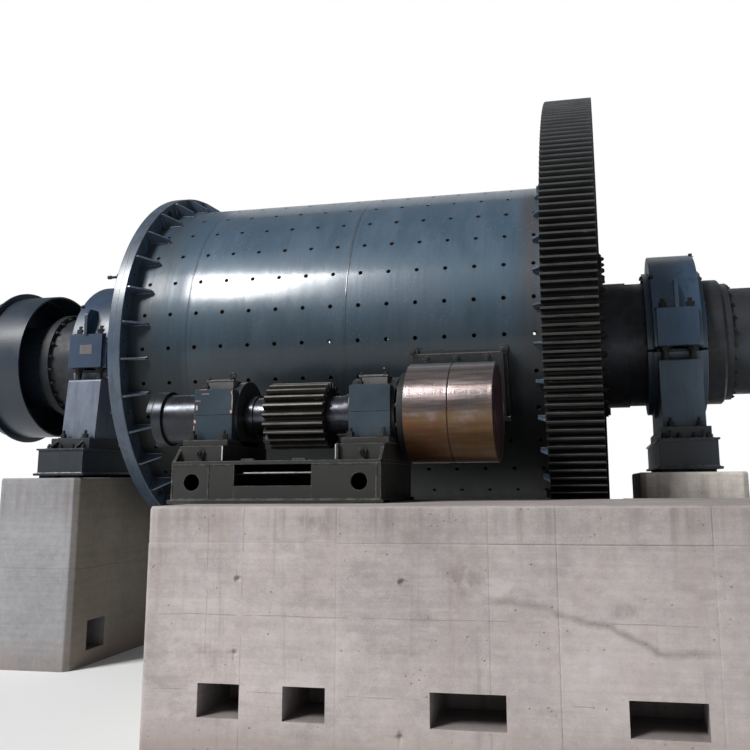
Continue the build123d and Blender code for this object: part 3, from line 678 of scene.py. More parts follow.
@dataclass(frozen=True)
class ShellPaint:
    """Brushed blue-grey paint over steel plate, with marks round the liner holes, a painted sky reflection on
    top, painted glints and painted shade below.

    Attributes:
        axis: Middle of the shell on the mill axis.
        colour: Colour of the paint.
        first_hole: Station and front angle of one hole.
        pitch: Hole pitch along the axis in metres and round it in degrees.
        radius: Outer radius of the shell.
        seams: Stations of the welds.
        damp: Station of the stained end.
    """

    axis: Vector
    colour: tuple
    first_hole: tuple
    pitch: tuple
    radius: float
    seams: tuple
    damp: float = 1.665

    def material(self) -> Material:
        """Builds the material."""
        r = Recipe("shell_paint")
        place = r.about(self.axis)
        x, y, z = r.split(place)
        streak = r.noise(r.stretch(place, 34, 0.9, 0.9), 1.0, 4.0, 0.6)
        fine = r.noise(r.stretch(place, 210, 6, 6), 1.0, 2.0)
        cloud = r.noise(place, 1.1, 4.0, 0.6)
        smear = r.noise(r.stretch(place, 3.0, 0.9, 0.9), 1.3, 5.0, 0.65)
        shade = r.sway(streak, 0.93, 1.05) + r.sway(cloud, -0.1, 0.12) + r.sway(fine, -0.03, 0.03)
        colour = r.tint(self.colour, shade)
        high = r.grade(z, 0.1, 1.5)
        dust = r.grade(smear, 0.42, 0.7) * r.grade(z, -1.2, 1.4, 0.05, 0.5)
        colour = r.mix(dust, colour, tone(86, 102, 120))
        # Painted sky reflection: the upper shell is blended towards a paler blue by height.
        colour = r.mix(high * 0.35, colour, tone(79, 96, 117))
        angle = r.maths("ARCTAN2", z, y * -1.0)
        along = (x - self.first_hole[0]) / self.pitch[0]
        turn = (angle - math.radians(self.first_hole[1])) / math.radians(self.pitch[1])
        du = r.maths("WRAP", along, 0.5, -0.5) * self.pitch[0]
        arc = math.radians(self.pitch[1]) * self.radius
        dv = r.maths("WRAP", turn, 0.5, -0.5) * arc
        away = r.maths("SQRT", du * du + dv * dv)
        spots = r.noise(r.stretch(place, 2.1, 2.1, 2.1), 1.0, 1.0)
        halo = r.grade(away, 0.034, 0.018) * r.grade(spots, 0.46, 0.66, 0.12, 0.75)
        colour = r.mix(halo, colour, tone(58, 48, 44))
        thin = r.grade(abs(du), 0.012, 0.003)
        under = r.grade(dv, -0.12, -0.02) * r.grade(dv, 0.0, -0.02)
        drip = thin * under * r.grade(streak, 0.45, 0.62, 0.0, 0.35)
        colour = r.mix(drip, colour, tone(46, 46, 48))
        for seam in self.seams:
            off = abs(x - seam)
            band = r.grade(off, 0.022, 0.008) * r.grade(smear, 0.35, 0.65, 0.1, 0.6)
            colour = r.mix(band, colour, tone(44, 48, 52))
        side = r.grade(abs(x - self.damp), 0.15, 0.02)
        stain = side * r.grade(smear, 0.36, 0.62, 0.15, 0.8)
        colour = r.mix(stain, colour, tone(74, 67, 64))
        # Painted glints: pale specks scattered over the shell.
        painted_glints = (r.grade(r.noise(place, 70.0, 2.0), 0.62, 0.7)
                * r.grade(r.noise(place, 2.6, 3.0), 0.44, 0.62, 0.1, 0.55))
        colour = r.mix(painted_glints, colour, tone(118, 128, 136))
        left = r.grade(x, -1.25, -1.75) * r.grade(smear, 0.36, 0.6, 0.3, 0.9)
        colour = r.mix(left, colour, tone(52, 60, 66))
        # Painted shade: the shell is darkened and greyed towards its bottom, standing in for the shade on its
        # underside.
        colour = r.tint(colour, r.grade(z, -1.1, 0.95, 0.22, 1.0))
        below = r.grade(z, 0.25, -0.55, 0.0, 0.45)
        colour = r.mix(below, colour, r.tint(tone(47, 49, 48), r.sway(streak, 0.8, 1.2)))
        colour = r.tint(colour, r.grade(z, -0.9, 0.2, 0.45, 1.0))
        rough = r.sway(streak, 0.4, 0.48) + dust * 0.25
        height = fine * 0.5 + streak * 0.5
        shine = r.grade(z, -0.9, 0.35, 0.08, 1.0) * r.grade(x, -1.42, -1.28, 0.15, 1.0)
        shine = shine * r.sway(streak, 1.0, 0.8)
        shine = shine * r.grade(stain, 0.0, 1.0, 1.0, 0.35)
        return r.done(colour, rough, 0.1, r.relief(height, 0.0006), shine, 0.18, 0.3)


@dataclass(frozen=True)
class Paint:
    """Weathered paint with worn edges, dirt, thin rust and painted shade in corners and recesses.

    Attributes:
        name: Name of the material.
        colour: Colour of the paint.
        wear: Colour of the worn edges.
        dirt: Colour of the dirt that gathers in runs and clouds.
        rust: Share of rust spots, from 0.
        gloss: Middle roughness.
        edge: Width of the worn edges.
        coat: Weight of the clear shine over the paint.
    """

    name: str
    colour: tuple
    wear: tuple
    dirt: tuple
    rust: float = 0.15
    gloss: float = 0.5
    edge: float = 0.006
    coat: float = 0.25

    def material(self) -> Material:
        """Builds the material."""
        r = Recipe(self.name)
        place = r.place()
        cloud = r.noise(place, 2.2, 5.0, 0.6)
        grain = r.noise(place, 60.0, 3.0, 0.6)
        runs = r.noise(r.stretch(place, 9, 9, 1.1), 2.0, 4.0, 0.6)
        shade = r.sway(cloud, 0.84, 1.14) + r.sway(grain, -0.06, 0.06)
        colour = r.tint(self.colour, shade)
        soil = r.grade(runs, 0.42, 0.7) * r.grade(cloud, 0.35, 0.6, 0.2, 0.7)
        colour = r.mix(soil, colour, self.dirt)
        spots = r.noise(place, 17.0, 6.0, 0.72)
        rust = r.grade(spots, 0.66 - 0.10 * self.rust, 0.76 - 0.08 * self.rust, 0.0, min(0.8, 3 * self.rust))
        colour = r.mix(rust, colour, tone(92, 58, 40))
        lean = r.edges(self.edge)
        worn = lean * r.grade(spots, 0.38, 0.6, 0.05, 0.9)
        colour = r.mix(worn, colour, self.wear)
        # Painted shade: darker in corners and recesses, graded by how open the point is.
        colour = r.tint(colour, r.grade(r.hollows(0.10), 0.0, 1.0, 0.5, 1.0))
        rough = r.sway(cloud, self.gloss - 0.09, self.gloss + 0.09) + rust * 0.25
        relief = r.relief(grain + spots, 0.0006)
        return r.done(colour, rough, 0.0, relief, self.coat, 0.24)


@dataclass(frozen=True)
class Steel:
    """Bare steel, turned or cast, with grease or rust clouds.

    Attributes:
        name: Name of the material.
        colour: Colour of the clean steel.
        film: Colour of the grease or rust film.
        share: Share of the surface under the film, 0 to 1.
        gloss: Roughness of the clean steel.
        turned: Strength of the lathe lines across the X axis.
        metal: Metallic share of the clean steel.
    """

    name: str
    colour: tuple
    film: tuple
    share: float
    gloss: float
    turned: float = 0.0
    metal: float = 0.85

    def material(self) -> Material:
        """Builds the material."""
        r = Recipe(self.name)
        place = r.place()
        cloud = r.noise(place, 3.1, 6.0, 0.66)
        grain = r.noise(place, 80.0, 3.0)
        lines = r.noise(r.stretch(place, 90, 2.0, 2.0), 1.0, 3.0, 0.6)
        middle = 0.7 - 0.45 * self.share
        film = r.grade(cloud, middle - 0.14, middle + 0.14)
        shade = r.sway(lines, 1 - 0.16 * self.turned, 1 + 0.12 * self.turned) + r.sway(grain, -0.06, 0.06)
        colour = r.mix(film, r.tint(self.colour, shade), r.tint(self.film, shade))
        worn = r.edges(0.004) * r.grade(cloud, 0.35, 0.6, 0.2, 0.8)
        colour = r.mix(worn, colour, self.colour)
        rough = r.sway(cloud, self.gloss, self.gloss + 0.1) + film * 0.16
        metal = self.metal - film * (0.5 * self.metal)
        height = lines * (0.6 * self.turned) + grain * 0.4
        return r.done(colour, rough, metal, r.relief(height, 0.0007))


@dataclass(frozen=True)
class ToothSteel:
    """Greased tooth flanks with bare, rubbed tips, and, when asked for, a paler colour painted on the upper
    teeth as light from above.

    Attributes:
        name: Name of the material.
        axis: Point on the gear's axis.
        grease: Colour of flanks and roots.
        bare: Colour of the rubbed tips.
        tip: Radius of the tooth tips.
        depth: How far down the tips are rubbed.
        painted_top_light: Colour painted on the upper teeth as light from above, if any.
        land: Share of the rubbing that the flat tips keep, the rest being at their corners.
    """

    name: str
    axis: Vector
    grease: tuple
    bare: tuple
    tip: float
    depth: float
    painted_top_light: tuple = ()
    land: float = 1.0

    def material(self) -> Material:
        """Builds the material."""
        r = Recipe(self.name)
        place = r.about(self.axis)
        radial = r.add("ShaderNodeVectorMath", {0: r.stretch(place, 0, 1, 1)}, "Value", operation="LENGTH")
        cloud = r.noise(place, 4.0, 5.0, 0.65)
        smear = r.noise(r.stretch(place, 5, 40, 40), 1.0, 4.0, 0.6)
        grain = r.noise(place, 70.0, 3.0)
        colour = r.tint(self.grease, r.sway(cloud, 0.7, 1.5))
        rubbed = r.grade(radial, self.tip - self.depth, self.tip - 0.3 * self.depth)
        rubbed = rubbed * r.grade(smear, 0.3, 0.56, 0.45, 1.0)
        rubbed = rubbed * r.grade(radial, self.tip - 0.0016, self.tip - 0.0004, 1.0, self.land)
        colour = r.mix(rubbed, colour, r.tint(self.bare, r.sway(grain, 0.86, 1.1)))
        # Painted light: the upper teeth are blended by height towards a paler colour, as lit from above.
        if self.painted_top_light:
            high = r.grade(r.split(place)[2], 0.1 * self.tip, self.tip, 0.0, 0.85)
            colour = r.mix(high, colour, r.tint(self.painted_top_light, r.sway(smear, 0.8, 1.15)))
        drops = r.grade(smear, 0.66, 0.72) * r.grade(cloud, 0.5, 0.62)
        colour = r.mix(drops, colour, self.bare)
        rough = r.sway(smear, 0.42, 0.6) - rubbed * 0.08
        height = grain * 0.5 + smear
        return r.done(colour, rough, 0.15, r.relief(height, 0.0007), mirror=0.2)


@dataclass(frozen=True)
class RubbedCopper:
    """Copper-coloured drum face: paler at the top and browner below by height, a painted sky reflection above
    and painted shade below, with brown clouds and red spots.

    Attributes:
        axis: Middle of the pinion on its axis.
        bright: Colour of the clean face, also used as the painted sky reflection at the top.
        brown: Colour of the brown film on the copper, also used as painted shade on the lower part.
        red: Colour of the rust-red patches.
    """

    axis: Vector
    bright: tuple
    brown: tuple
    red: tuple

    def material(self) -> Material:
        """Builds the material."""
        r = Recipe("drum_copper")
        place = r.about(self.axis)
        x, _, z = r.split(place)
        level = r.noise(r.stretch(place, 2.2, 26, 26), 1.0, 5.0, 0.62)
        cloud = r.noise(place, 5.0, 5.0, 0.62)
        patch = r.noise(r.stretch(place, 5, 30, 30), 1.0, 5.0, 0.65)
        lines = r.noise(r.stretch(place, 380, 3, 3), 1.0, 2.0)
        shade = r.sway(level, 0.74, 1.2) + r.sway(lines, -0.05, 0.05)
        # Painted light: the brown share grows towards the bottom by height, a painted sky reflection on the
        # pale top and painted shade below; the cloud adds real browning.
        tarnish_and_shading = r.grade(z, 0.1, -0.16) + r.sway(cloud, -0.35, 0.35)
        tarnish_and_shading = r.grade(tarnish_and_shading, 0.1, 0.9)
        colour = r.mix(tarnish_and_shading, r.tint(self.bright, shade), r.tint(self.brown, shade))
        low_left = r.grade(z, 0.02, -0.12) * r.grade(x, 1.25, 0.95)
        reds = r.grade(patch, 0.4, 0.62) * (low_left * 1.3 + 0.14)
        colour = r.mix(reds, colour, self.red)
        scuffs = r.grade(r.noise(place, 34.0, 3.0, 0.6), 0.62, 0.72) * 0.15
        colour = r.mix(scuffs, colour, self.bright)
        rough = r.sway(level, 0.2, 0.33) + tarnish_and_shading * 0.12
        height = lines * 2.6 + level * 0.6
        return r.done(colour, rough, 0.8, r.relief(height, 0.0003), r.grade(tarnish_and_shading, 0.0, 1.0, 1.0, 0.1),
                      0.14)


@dataclass(frozen=True)
class Concrete:
    """Pale cast concrete with formwork grain, air holes, runs, damp and a long dark line; painted shade in
    its hollows and air holes, on the left pier's side towards the drum and towards the drive block's right
    end; the right pier painted paler as painted light.

    Attributes:
        colour: Colour of the clean face.
        dark: Colour of runs and holes.
        warm: Colour of patches and of the damp foot.
    """

    colour: tuple
    dark: tuple
    warm: tuple

    def material(self) -> Material:
        """Builds the material."""
        r = Recipe("concrete")
        place = r.place()
        cloud = r.noise(place, 1.1, 6.0, 0.62)
        patch = r.noise(r.stretch(place, 1, 1, 0.5), 3.1, 6.0, 0.66)
        sand = r.noise(place, 150.0, 4.0, 0.7)
        board = r.noise(r.stretch(place, 1.2, 1.2, 34), 1.0, 4.0, 0.6)
        shade = r.sway(cloud, 0.8, 1.12) + r.sway(sand, -0.09, 0.09)
        shade = shade + r.sway(board, -0.05, 0.05)
        shade = shade + r.sway(r.noise(place, 16.0, 4.0, 0.7), -0.07, 0.07)
        colour = r.tint(self.colour, shade)
        colour = r.mix(r.grade(patch, 0.48, 0.70, 0.0, 0.45), colour, self.warm)
        bloom = r.noise(r.stretch(place, 0.8, 0.8, 1.6), 2.3, 7.0, 0.72)
        colour = r.mix(r.grade(bloom, 0.54, 0.68, 0.0, 0.45), colour, tone(196, 190, 188))
        colour = r.mix(r.grade(bloom, 0.46, 0.32, 0.0, 0.30), colour, self.dark)
        x, y, low = r.split(place)
        left = r.grade(x, -1.2, -1.9)
        colour = r.mix(left, colour, r.tint(tone(152, 151, 153), shade))
        across, _, rise = r.split(r.add("ShaderNodeNewGeometry", {}, "Normal"))
        upright = r.grade(abs(rise), 0.6, 0.2)
        # Painted light: the right pier is painted paler, standing in for the light that the gear's shadow
        # takes off it.
        far = r.grade(y, -1.1, -0.9) * r.grade(x, 1.5, 2.0)
        colour = r.mix(far, colour, r.tint(tone(208, 200, 192), shade))
        # Painted shade: the drive block is darkened towards its right end; it is also made a little darker
        # along its top band, and the right pier is kept out of both.
        fade = r.grade(x, 1.9, 3.3, 1.0, 0.9) * r.grade(low, 1.15, 1.36, 1.0, 0.91)
        colour = r.tint(colour, r.maths("MAXIMUM", fade, far))
        # Painted shade: the left pier's faces turned towards +X, which lie in shade, are painted a darker
        # brown.
        brown = left * r.grade(across, 0.5, 0.9, 0.0, 0.75)
        colour = r.mix(brown, colour, r.tint(tone(128, 117, 98), shade))
        air = r.hollows(0.5)
        damp = r.grade(low, 0.35, 0.0) * r.grade(cloud, 0.35, 0.6, 0.2, 0.8)
        colour = r.mix(damp, colour, self.warm)
        runs = r.noise(r.stretch(place, 12, 12, 0.6), 1.0, 4.0, 0.6)
        colour = r.mix(upright * r.grade(runs, 0.55, 0.74, 0.0, 0.35), colour, self.dark)
        top = r.grade(low, 1.15, 1.42) * r.grade(runs, 0.42, 0.66, 0.0, 0.42)
        top = top * upright * r.grade(low, 1.6, 1.46, 0.35, 1.0)
        colour = r.mix(top, colour, self.dark)
        cell = r.add("ShaderNodeTexVoronoi", {"Vector": place, "Scale": 24.0}, "Distance")
        bubbles = r.grade(cell, 0.14, 0.06)
        rare = bubbles * r.grade(r.noise(place, 7.0, 2.0), 0.5, 0.62)
        # Painted shade: the rare air holes, also sunk by the relief, are darkened inside.
        colour = r.mix(rare * 0.8, colour, self.dark)
        front = r.grade(y, -2.86, -2.89)
        marks = r.maths("MAXIMUM", self.smear(r, x, low, place), self.blots(r, x, low, place, patch)) * front
        colour = r.mix(marks, colour, self.dark)
        lines = self.faint_lines(r, x, low, place) * front
        colour = r.mix(lines * 0.34, colour, self.dark)
        # Painted shade: darker in corners and recesses such as the pockets, graded by how open the point is.
        colour = r.tint(colour, r.grade(air, 0.0, 1.0, 0.5, 1.0))
        height = sand * 0.5 + board * 0.6
        height = height - r.maths("MAXIMUM", rare, lines * 0.3) * 1.6
        return r.done(colour, 0.9, 0.0, r.relief(height, 0.0028))

    def smear(self, r: Recipe, x: Field, low: Field, place: Field) -> Field:
        """Soft dark line that bends down to the right across the drive block's front."""
        spots = ((1.665, 0.924), (1.955, 0.903), (2.10, 0.844), (2.34, 0.798), (2.477, 0.736), (2.626, 0.655),
                 (2.863, 0.672))
        wander = r.grade(r.noise(place, 7.0, 4.0, 0.6), 0.0, 1.0, -0.03, 0.03)
        line = wander + spots[0][1]
        for (x0, z0), (x1, z1) in zip(spots, spots[1:]):
            line = line + r.add("ShaderNodeMapRange", {0: x, 1: x0, 2: x1, 3: 0.0, 4: z1 - z0})
        off = abs(low - line)
        soft = r.grade(off, 0.034, 0.006, 0.0, 0.45) + r.grade(off, 0.008, 0.001, 0.0, 0.15)
        ends = r.grade(x, 1.62, 1.8) * r.grade(x, 2.95, 2.75)
        patchy = r.grade(r.noise(r.stretch(place, 5, 5, 1), 1.0, 3.0), 0.32, 0.55, 0.55, 1.0)
        return soft * ends * patchy

    def blots(self, r: Recipe, x: Field, low: Field, place: Field, patch: Field) -> Field:
        """Dark damp patches on the drive block's front."""
        total = 0.0
        patches = ((1.56, 1.02, 0.20, 0.13), (2.43, 0.88, 0.13, 0.07), (-0.04, 1.34, 0.17, 0.10),
                   (0.62, 1.33, 0.35, 0.07))
        for centre, height, wide, tall in patches:
            a = (x - centre) / wide
            b = (low - height) / tall
            away = r.maths("SQRT", a * a + b * b)
            total = r.maths("MAXIMUM", r.grade(away, 1.0, 0.3, 0.0, 0.8), total)
        fine = r.noise(r.stretch(place, 1, 1, 0.6), 13.0, 5.0, 0.7)
        return total * (r.grade(patch, 0.36, 0.6, 0.1, 0.7) * r.grade(fine, 0.42, 0.6))

    def faint_lines(self, r: Recipe, x: Field, low: Field, place: Field) -> Field:
        """Broken lines of the boards' joints on the drive block's front, level and upright."""
        wobble = r.grade(r.noise(place, 3.0, 3.0), 0.0, 1.0, -0.006, 0.006)
        breaks = r.grade(r.noise(place, 2.6, 4.0, 0.7), 0.47, 0.56)
        total = 0.0
        for value, spot in ((low, 0.81), (low, 0.39), (x, 0.03), (x, 0.25)):
            off = abs(value + wobble - spot)
            total = r.maths("MAXIMUM", r.grade(off, 0.0045, 0.001), total)
        return total * breaks


@dataclass(frozen=True)
class Palette:
    """The finishes used by the whole machine, built once."""

    mill: Material
    flange: Material
    gear: Material
    bearing: Material
    right_cap_painted_light: Material
    right_leg: Material
    collar: Material
    hatch: Material
    pedestal: Material
    footing: Material
    trunnion: Material
    feeder: Material
    housing: Material
    chips: Material
    shaft: Material
    coupling: Material
    pinion: Material
    drum: Material
    end: Material
    lid: Material
    base: Material
    bright: Material
    bolts: Material
    concrete: Material

    @staticmethod
    def built(shell: ShellPaint, mill: Vector, pinion: Vector) -> "Palette":
        """Builds every finish round the two axes."""
        pale, grey, soot = tone(132, 138, 142), tone(50, 52, 54), tone(40, 42, 42)
        finishes = {
            "mill": shell,
            "flange": Paint("flange_paint", tone(60, 77, 96), pale, soot, 0.08, 0.45, coat=0.6),
            # Painted light: the third colour here is painted on the girth gear's upper teeth as light from
            # above.
            "gear": ToothSteel("gear_steel", mill, tone(20, 20, 20), tone(116, 115, 111), 2.3196, 0.0050,
                               tone(84, 87, 89), 0.22),
            "bearing": Paint("bearing_paint", tone(36, 58, 85), pale, tone(40, 47, 54), 0.06, 0.42),
            # Painted light: this right cap paint and the right leg paint below are paler copies of the
            # bearing paint, standing in for the light the right bearing loses in the gear's shadow.
            "right_cap_painted_light": Paint("right_cap_paint", tone(55, 81, 108), pale, tone(48, 56, 64), 0.06, 0.42,
                            coat=0.4),
            "right_leg": Paint("right_leg_paint", tone(76, 94, 110), pale, tone(66, 74, 84), 0.06, 0.45),
            # Painted shade: the collars' near-black grey stands in for the shade that they sit in.
            "collar": Paint("collar_paint", tone(33, 33, 36), grey, tone(40, 37, 36), 0.06, 0.45),
            "hatch": Paint("hatch_paint", tone(29, 32, 34), tone(146, 150, 152), soot, 0.06, 0.45, 0.004),
            # Painted light: the left pedestal's paint is much paler than its cap's, standing in for the light
            # that its raking face catches.
            "pedestal": Paint("pedestal_paint", tone(103, 112, 128), pale, tone(66, 74, 84), 0.06, 0.45),
            "footing": Paint("footing_paint", tone(36, 44, 52), pale, tone(36, 38, 40), 0.06, 0.45),
            "trunnion": Steel("trunnion_steel", tone(56, 62, 70), tone(38, 38, 40), 0.5, 0.36, 0.7, 0.4),
            "feeder": Paint("feeder_paint", tone(33, 47, 62), tone(84, 88, 92), tone(46, 42, 42), 0.12, 0.42,
                            coat=0.12),
            "housing": Paint("housing_paint", tone(35, 53, 65), tone(84, 98, 106), tone(34, 48, 58), 0.05,
                             0.42),
            "chips": Paint("primer_chips", tone(190, 128, 104), tone(214, 200, 196), tone(210, 196, 192), 0.3,
                           0.6),
            "shaft": Steel("shaft_steel", tone(80, 83, 92), tone(46, 45, 47), 0.35, 0.13, 0.4, 0.9),
            "coupling": Steel("coupling_steel", tone(58, 61, 68), tone(40, 40, 43), 0.35, 0.2, 0.3, 0.75),
            "pinion": ToothSteel("pinion_steel", pinion, tone(30, 27, 25), tone(118, 116, 110), 0.24, 0.003),
            "drum": RubbedCopper(pinion, tone(126, 115, 114), tone(108, 86, 60), tone(112, 74, 54)),
            "end": Paint("end_red", tone(52, 19, 21), tone(88, 46, 44), tone(36, 22, 24), 0.1, 0.45),
            "lid": Paint("lid_paint", tone(94, 92, 92), tone(150, 150, 148), tone(80, 76, 74), 0.08),
            "base": Paint("frame_paint", tone(31, 33, 31), tone(140, 136, 128), tone(42, 38, 30), 0.10, 0.68,
                          0.005, 0.15),
            # Painted highlight: near-white paint for the strips that stand in for light catching edges of the
            # pinion frame.
            "bright": Paint("bright_edge", tone(222, 222, 218), tone(235, 235, 232), grey, 0.02, 0.4),
            "bolts": Steel("bolt_steel", grey, tone(29, 28, 27), 0.6, 0.42, 0.0, 0.3),
            "concrete": Concrete(tone(176, 167, 165), tone(118, 109, 106), tone(164, 149, 141)),
        }
        return Palette(**{name: finish.material() for name, finish in finishes.items()})


# Pieces


def make_piece(name: str, form: Form, finish: bpy.types.Material, body: Body,
               home: Vector, stands_for: Sequence[str] = (), sharp: float = 40.0) -> None:
    """Makes a mesh piece, closes its seams, shades it and lets it ride on its body.

    Args:
        name: Name of the piece.
        form: Its geometry about its own home.
        finish: Its material.
        body: The body that it moves with.
        home: Where its own origin is in the shared frame.
        stands_for: CAD nodes that it takes the place of.
        sharp: Angle in degrees over which an edge stays sharp.
    """
    mesh = bpy.data.meshes.new(name)
    points = form.points + np.array(home)
    corners = np.concatenate([f.ravel() for f in form.faces]).astype(np.int32)
    counts = np.concatenate([np.full(len(f), f.shape[1]) for f in form.faces])
    starts = np.concatenate([[0], np.cumsum(counts)[:-1]]).astype(np.int32)
    mesh.vertices.add(len(points))
    mesh.vertices.foreach_set("co", points.astype(np.float32).ravel())
    mesh.loops.add(len(corners))
    mesh.polygons.add(len(counts))
    mesh.polygons.foreach_set("loop_start", starts)
    mesh.polygons.foreach_set("vertices", corners)
    mesh.update(calc_edges=True)
    mesh.validate()
    work = bmesh.new()
    work.from_mesh(mesh)
    bmesh.ops.remove_doubles(work, verts=work.verts, dist=2e-6)
    bmesh.ops.recalc_face_normals(work, faces=work.faces)
    work.to_mesh(mesh)
    work.free()
    mesh.polygons.foreach_set("use_smooth", np.ones(len(mesh.polygons), bool))
    mesh.set_sharp_from_angle(angle=math.radians(sharp))
    mesh.materials.append(finish)
    piece = bpy.data.objects.new(name, mesh)
    bpy.context.scene.collection.objects.link(piece)
    weight = piece.modifiers.new("even_shading", "WEIGHTED_NORMAL")
    weight.keep_sharp = True
    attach(piece, body.value)
    if stands_for:
        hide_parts(*stands_for)
    log.info("%s: %d faces", name, len(mesh.polygons))


@dataclass(frozen=True)
class Site:
    """A body and the place in the shared frame round which its pieces are built."""

    body: Body
    home: Vector

    def moved(self, x: float) -> "Site":
        """The same body at a place further along the X axis."""
        return Site(self.body, self.home + Vector((x, 0, 0)))

    def add(self, name: str, form: Form, finish: Material, slot: Slot, *nodes: str,
            sharp: float = 40.0) -> None:
        """Makes a piece here that stands for the CAD nodes named."""
        make_piece(name, form, finish, self.body, self.home, nodes, sharp)


@dataclass
class DrumShell:
    """Rolled shell with its grid of liner holes and its weld seams."""

    half_length: float = 1.925
    radius: float = 1.54
    plate: float = 0.04
    first_hole: tuple = (-1.7345, 63.90)
    pitch: tuple = (0.245, 11.25)
    columns: int = 15
    rows: int = 32
    hole: float = 0.0172
    seams: tuple = (-1.3265, 0.1115)
    covered: tuple = ((0.69, 1.49), (-29.0, -7.0))

    def cells(self) -> Form:
        """The perforated plate, closed over under the manhole."""
        x = self.first_hole[0] + self.pitch[0] * np.arange(self.columns)
        a = self.first_hole[1] - self.pitch[1] * np.arange(self.rows)
        xs, angles = (v.ravel() for v in np.meshgrid(x, a))
        (low_x, high_x), (low_a, high_a) = self.covered
        shut = (xs > low_x) & (xs < high_x) & (angles > low_a) & (angles < high_a)
        half = (self.pitch[0] / 2, math.radians(self.pitch[1]) * self.radius / 2)
        arcs = np.radians(angles) * self.radius

        def place(u: np.ndarray, v: np.ndarray, depth: np.ndarray) -> np.ndarray:
            """Bends the plate round the axis."""
            return on_front(u, self.radius - depth, np.degrees(v / self.radius))

        return punched(np.stack([xs, arcs], 1), half, self.hole, (0.0, self.plate), shut, True, place)

    def margins(self) -> Form:
        """Plain strips beyond the outer hole columns, with the shell's two end faces."""
        middles = self.first_hole[1] - self.pitch[1] * np.arange(self.rows)[:, None]
        around = np.sort((middles + RIM_SHARES * self.pitch[1] / 2).ravel())
        inner = self.radius - self.plate
        strips = []
        ends = (self.first_hole[0] - self.pitch[0] / 2,
                self.first_hole[0] + (self.columns - 0.5) * self.pitch[0])
        for side, edge in zip((-1, 1), ends):
            end = side * self.half_length
            profile = np.array([(edge, self.radius), (end, self.radius), (end, inner), (edge, inner)])
            loops = on_front(profile[None, :, 0], profile[None, :, 1], around[:, None])
            strips.append(carried(loops, ring=True, closed=False))
        return join(*strips)

    def seam(self, x: float) -> Form:
        """Low weld bead round the shell, its height rippling as it goes."""
        angles = np.linspace(0, 360, 720, endpoint=False)
        across = np.array([-0.011, -0.006, 0.0, 0.006, 0.011])
        rise = np.array([-0.002, 0.0005, 0.0008, 0.0005, -0.002])
        path = on_front(x, self.radius, angles)
        swell = 1 + 0.35 * ripple(path, 0.05, 5)[:, None] * (rise > 0)
        wander = 0.002 * ripple(path, 0.3, 8)[:, None]
        return carried(on_front(x + across + wander, self.radius + rise * swell, angles[:, None]), ring=True)

    def build(self, palette: Palette, site: Site) -> None:
        """Builds the shell piece."""
        form = join(self.cells(), self.margins(), *[self.seam(x) for x in self.seams])
        site.add("drum_shell", form, palette.mill, Slot.SHELL, "mill_shell")


@dataclass
class EndFlange:
    """Bolted ring at one end of the shell with its gussets."""

    face: float = 1.925
    thickness: float = 0.058
    outer: float = 1.69
    inner: float = 1.541
    gussets: int = 32
    gusset_angle: float = -6.6
    gusset_length: float = 0.18
    gusset_thickness: float = 0.016
    tip_height: float = 0.04
    hole: float = 0.0145
    bolt_circle: float = 1.61

    def ring(self) -> Form:
        """The right-hand ring, one blind bolt hole per bay in its face towards the gussets."""
        low, inner, outer = self.face - self.thickness, self.inner - 0.004, self.outer
        step = 360 / self.gussets
        angles = even(self.gussets, self.gusset_angle + step / 2)
        rim, mean = outer - 0.004, self.bolt_circle
        half = ((rim - inner) / 2, math.radians(step) * mean / 2)
        centres = np.stack([np.full(self.gussets, (rim + inner) / 2), np.radians(angles) * mean], 1)

        def place(u: np.ndarray, v: np.ndarray, depth: np.ndarray) -> np.ndarray:
            """Lays the band on the ring's face."""
            return on_front(low + depth, u, np.degrees(v / mean))

        face = punched(centres, half, self.hole, (0.0, 0.05), np.zeros(self.gussets, bool), False, place)
        around = np.sort((angles[:, None] + RIM_SHARES * step / 2).ravel())
        profile = np.array([(low, rim), (low + 0.004, outer), (self.face - 0.0012, outer),
                            (self.face, outer - 0.0012), (self.face, inner), (low, inner)])
        body = carried(on_front(profile[None, :, 0], profile[None, :, 1], around[:, None]), ring=True,
                       closed=False)
        return join(face, body)

    def form(self) -> Form:
        """The right-hand ring with gussets and their weld beads."""
        low = self.face - self.thickness
        top = self.outer - 0.012
        foot = self.inner - 0.006
        outline = [(low + 0.006, -foot), (low + 0.006, -top), (low - 0.025, -top),
                   (low - self.gusset_length, -self.inner - self.tip_height),
                   (low - self.gusset_length, -foot)]
        half = self.gusset_thickness / 2
        gusset = prism(eased(outline, 0.003), -half, half, "z", 0.0015)
        root = (low, -self.inner)
        beads = [weld(straight((*start, side * half), (*end, side * half)), 0.005, (0, 0, 1), seed + side)
                 for start, end, seed in (((low - self.gusset_length, -self.inner), root, 3),
                                          (root, (low, -top), 9)) for side in (-1, 1)]
        angles = even(self.gussets, self.gusset_angle)
        return join(self.ring(), join(gusset, *beads).spread(turns(angles)))

    def bolts(self, bays: Sequence[int]) -> Form:
        """Set screws that stand in the holes of a few bays, and a small clip in one bay."""
        low = self.face - self.thickness
        angles = self.gusset_angle + (np.asarray(bays) + 0.5) * 360 / self.gussets
        spots = on_front(low, (self.outer - 0.004 + self.inner - 0.004) / 2, angles)
        heads = Fastener(0.034, 0.018, 0.004).on(spots, (-1, 0, 0), np.linspace(0, 57, len(angles)))
        clip = slab((low - 0.007, -1.655, -0.010), (low + 0.001, -1.575, 0.010), 0.002).spread(turns([16.3]))
        return join(heads, clip)

    def build(self, palette: Palette, site: Site) -> None:
        """Builds both flanges and their bolts."""
        for side, bays in (("left", (5, 12, 19, 27)), ("right", (3, 9, 16, 22, 30))):
            ring, bolts = self.form(), self.bolts(bays)
            if side == "left":
                ring, bolts = ring.mirrored(), bolts.mirrored()
            site.add(f"{side}_end_flange", ring, palette.flange, Slot.FLANGE, f"{side}_shell_flange")
            site.add(f"{side}_flange_bolts", bolts, palette.bolts, Slot.SHAFT)


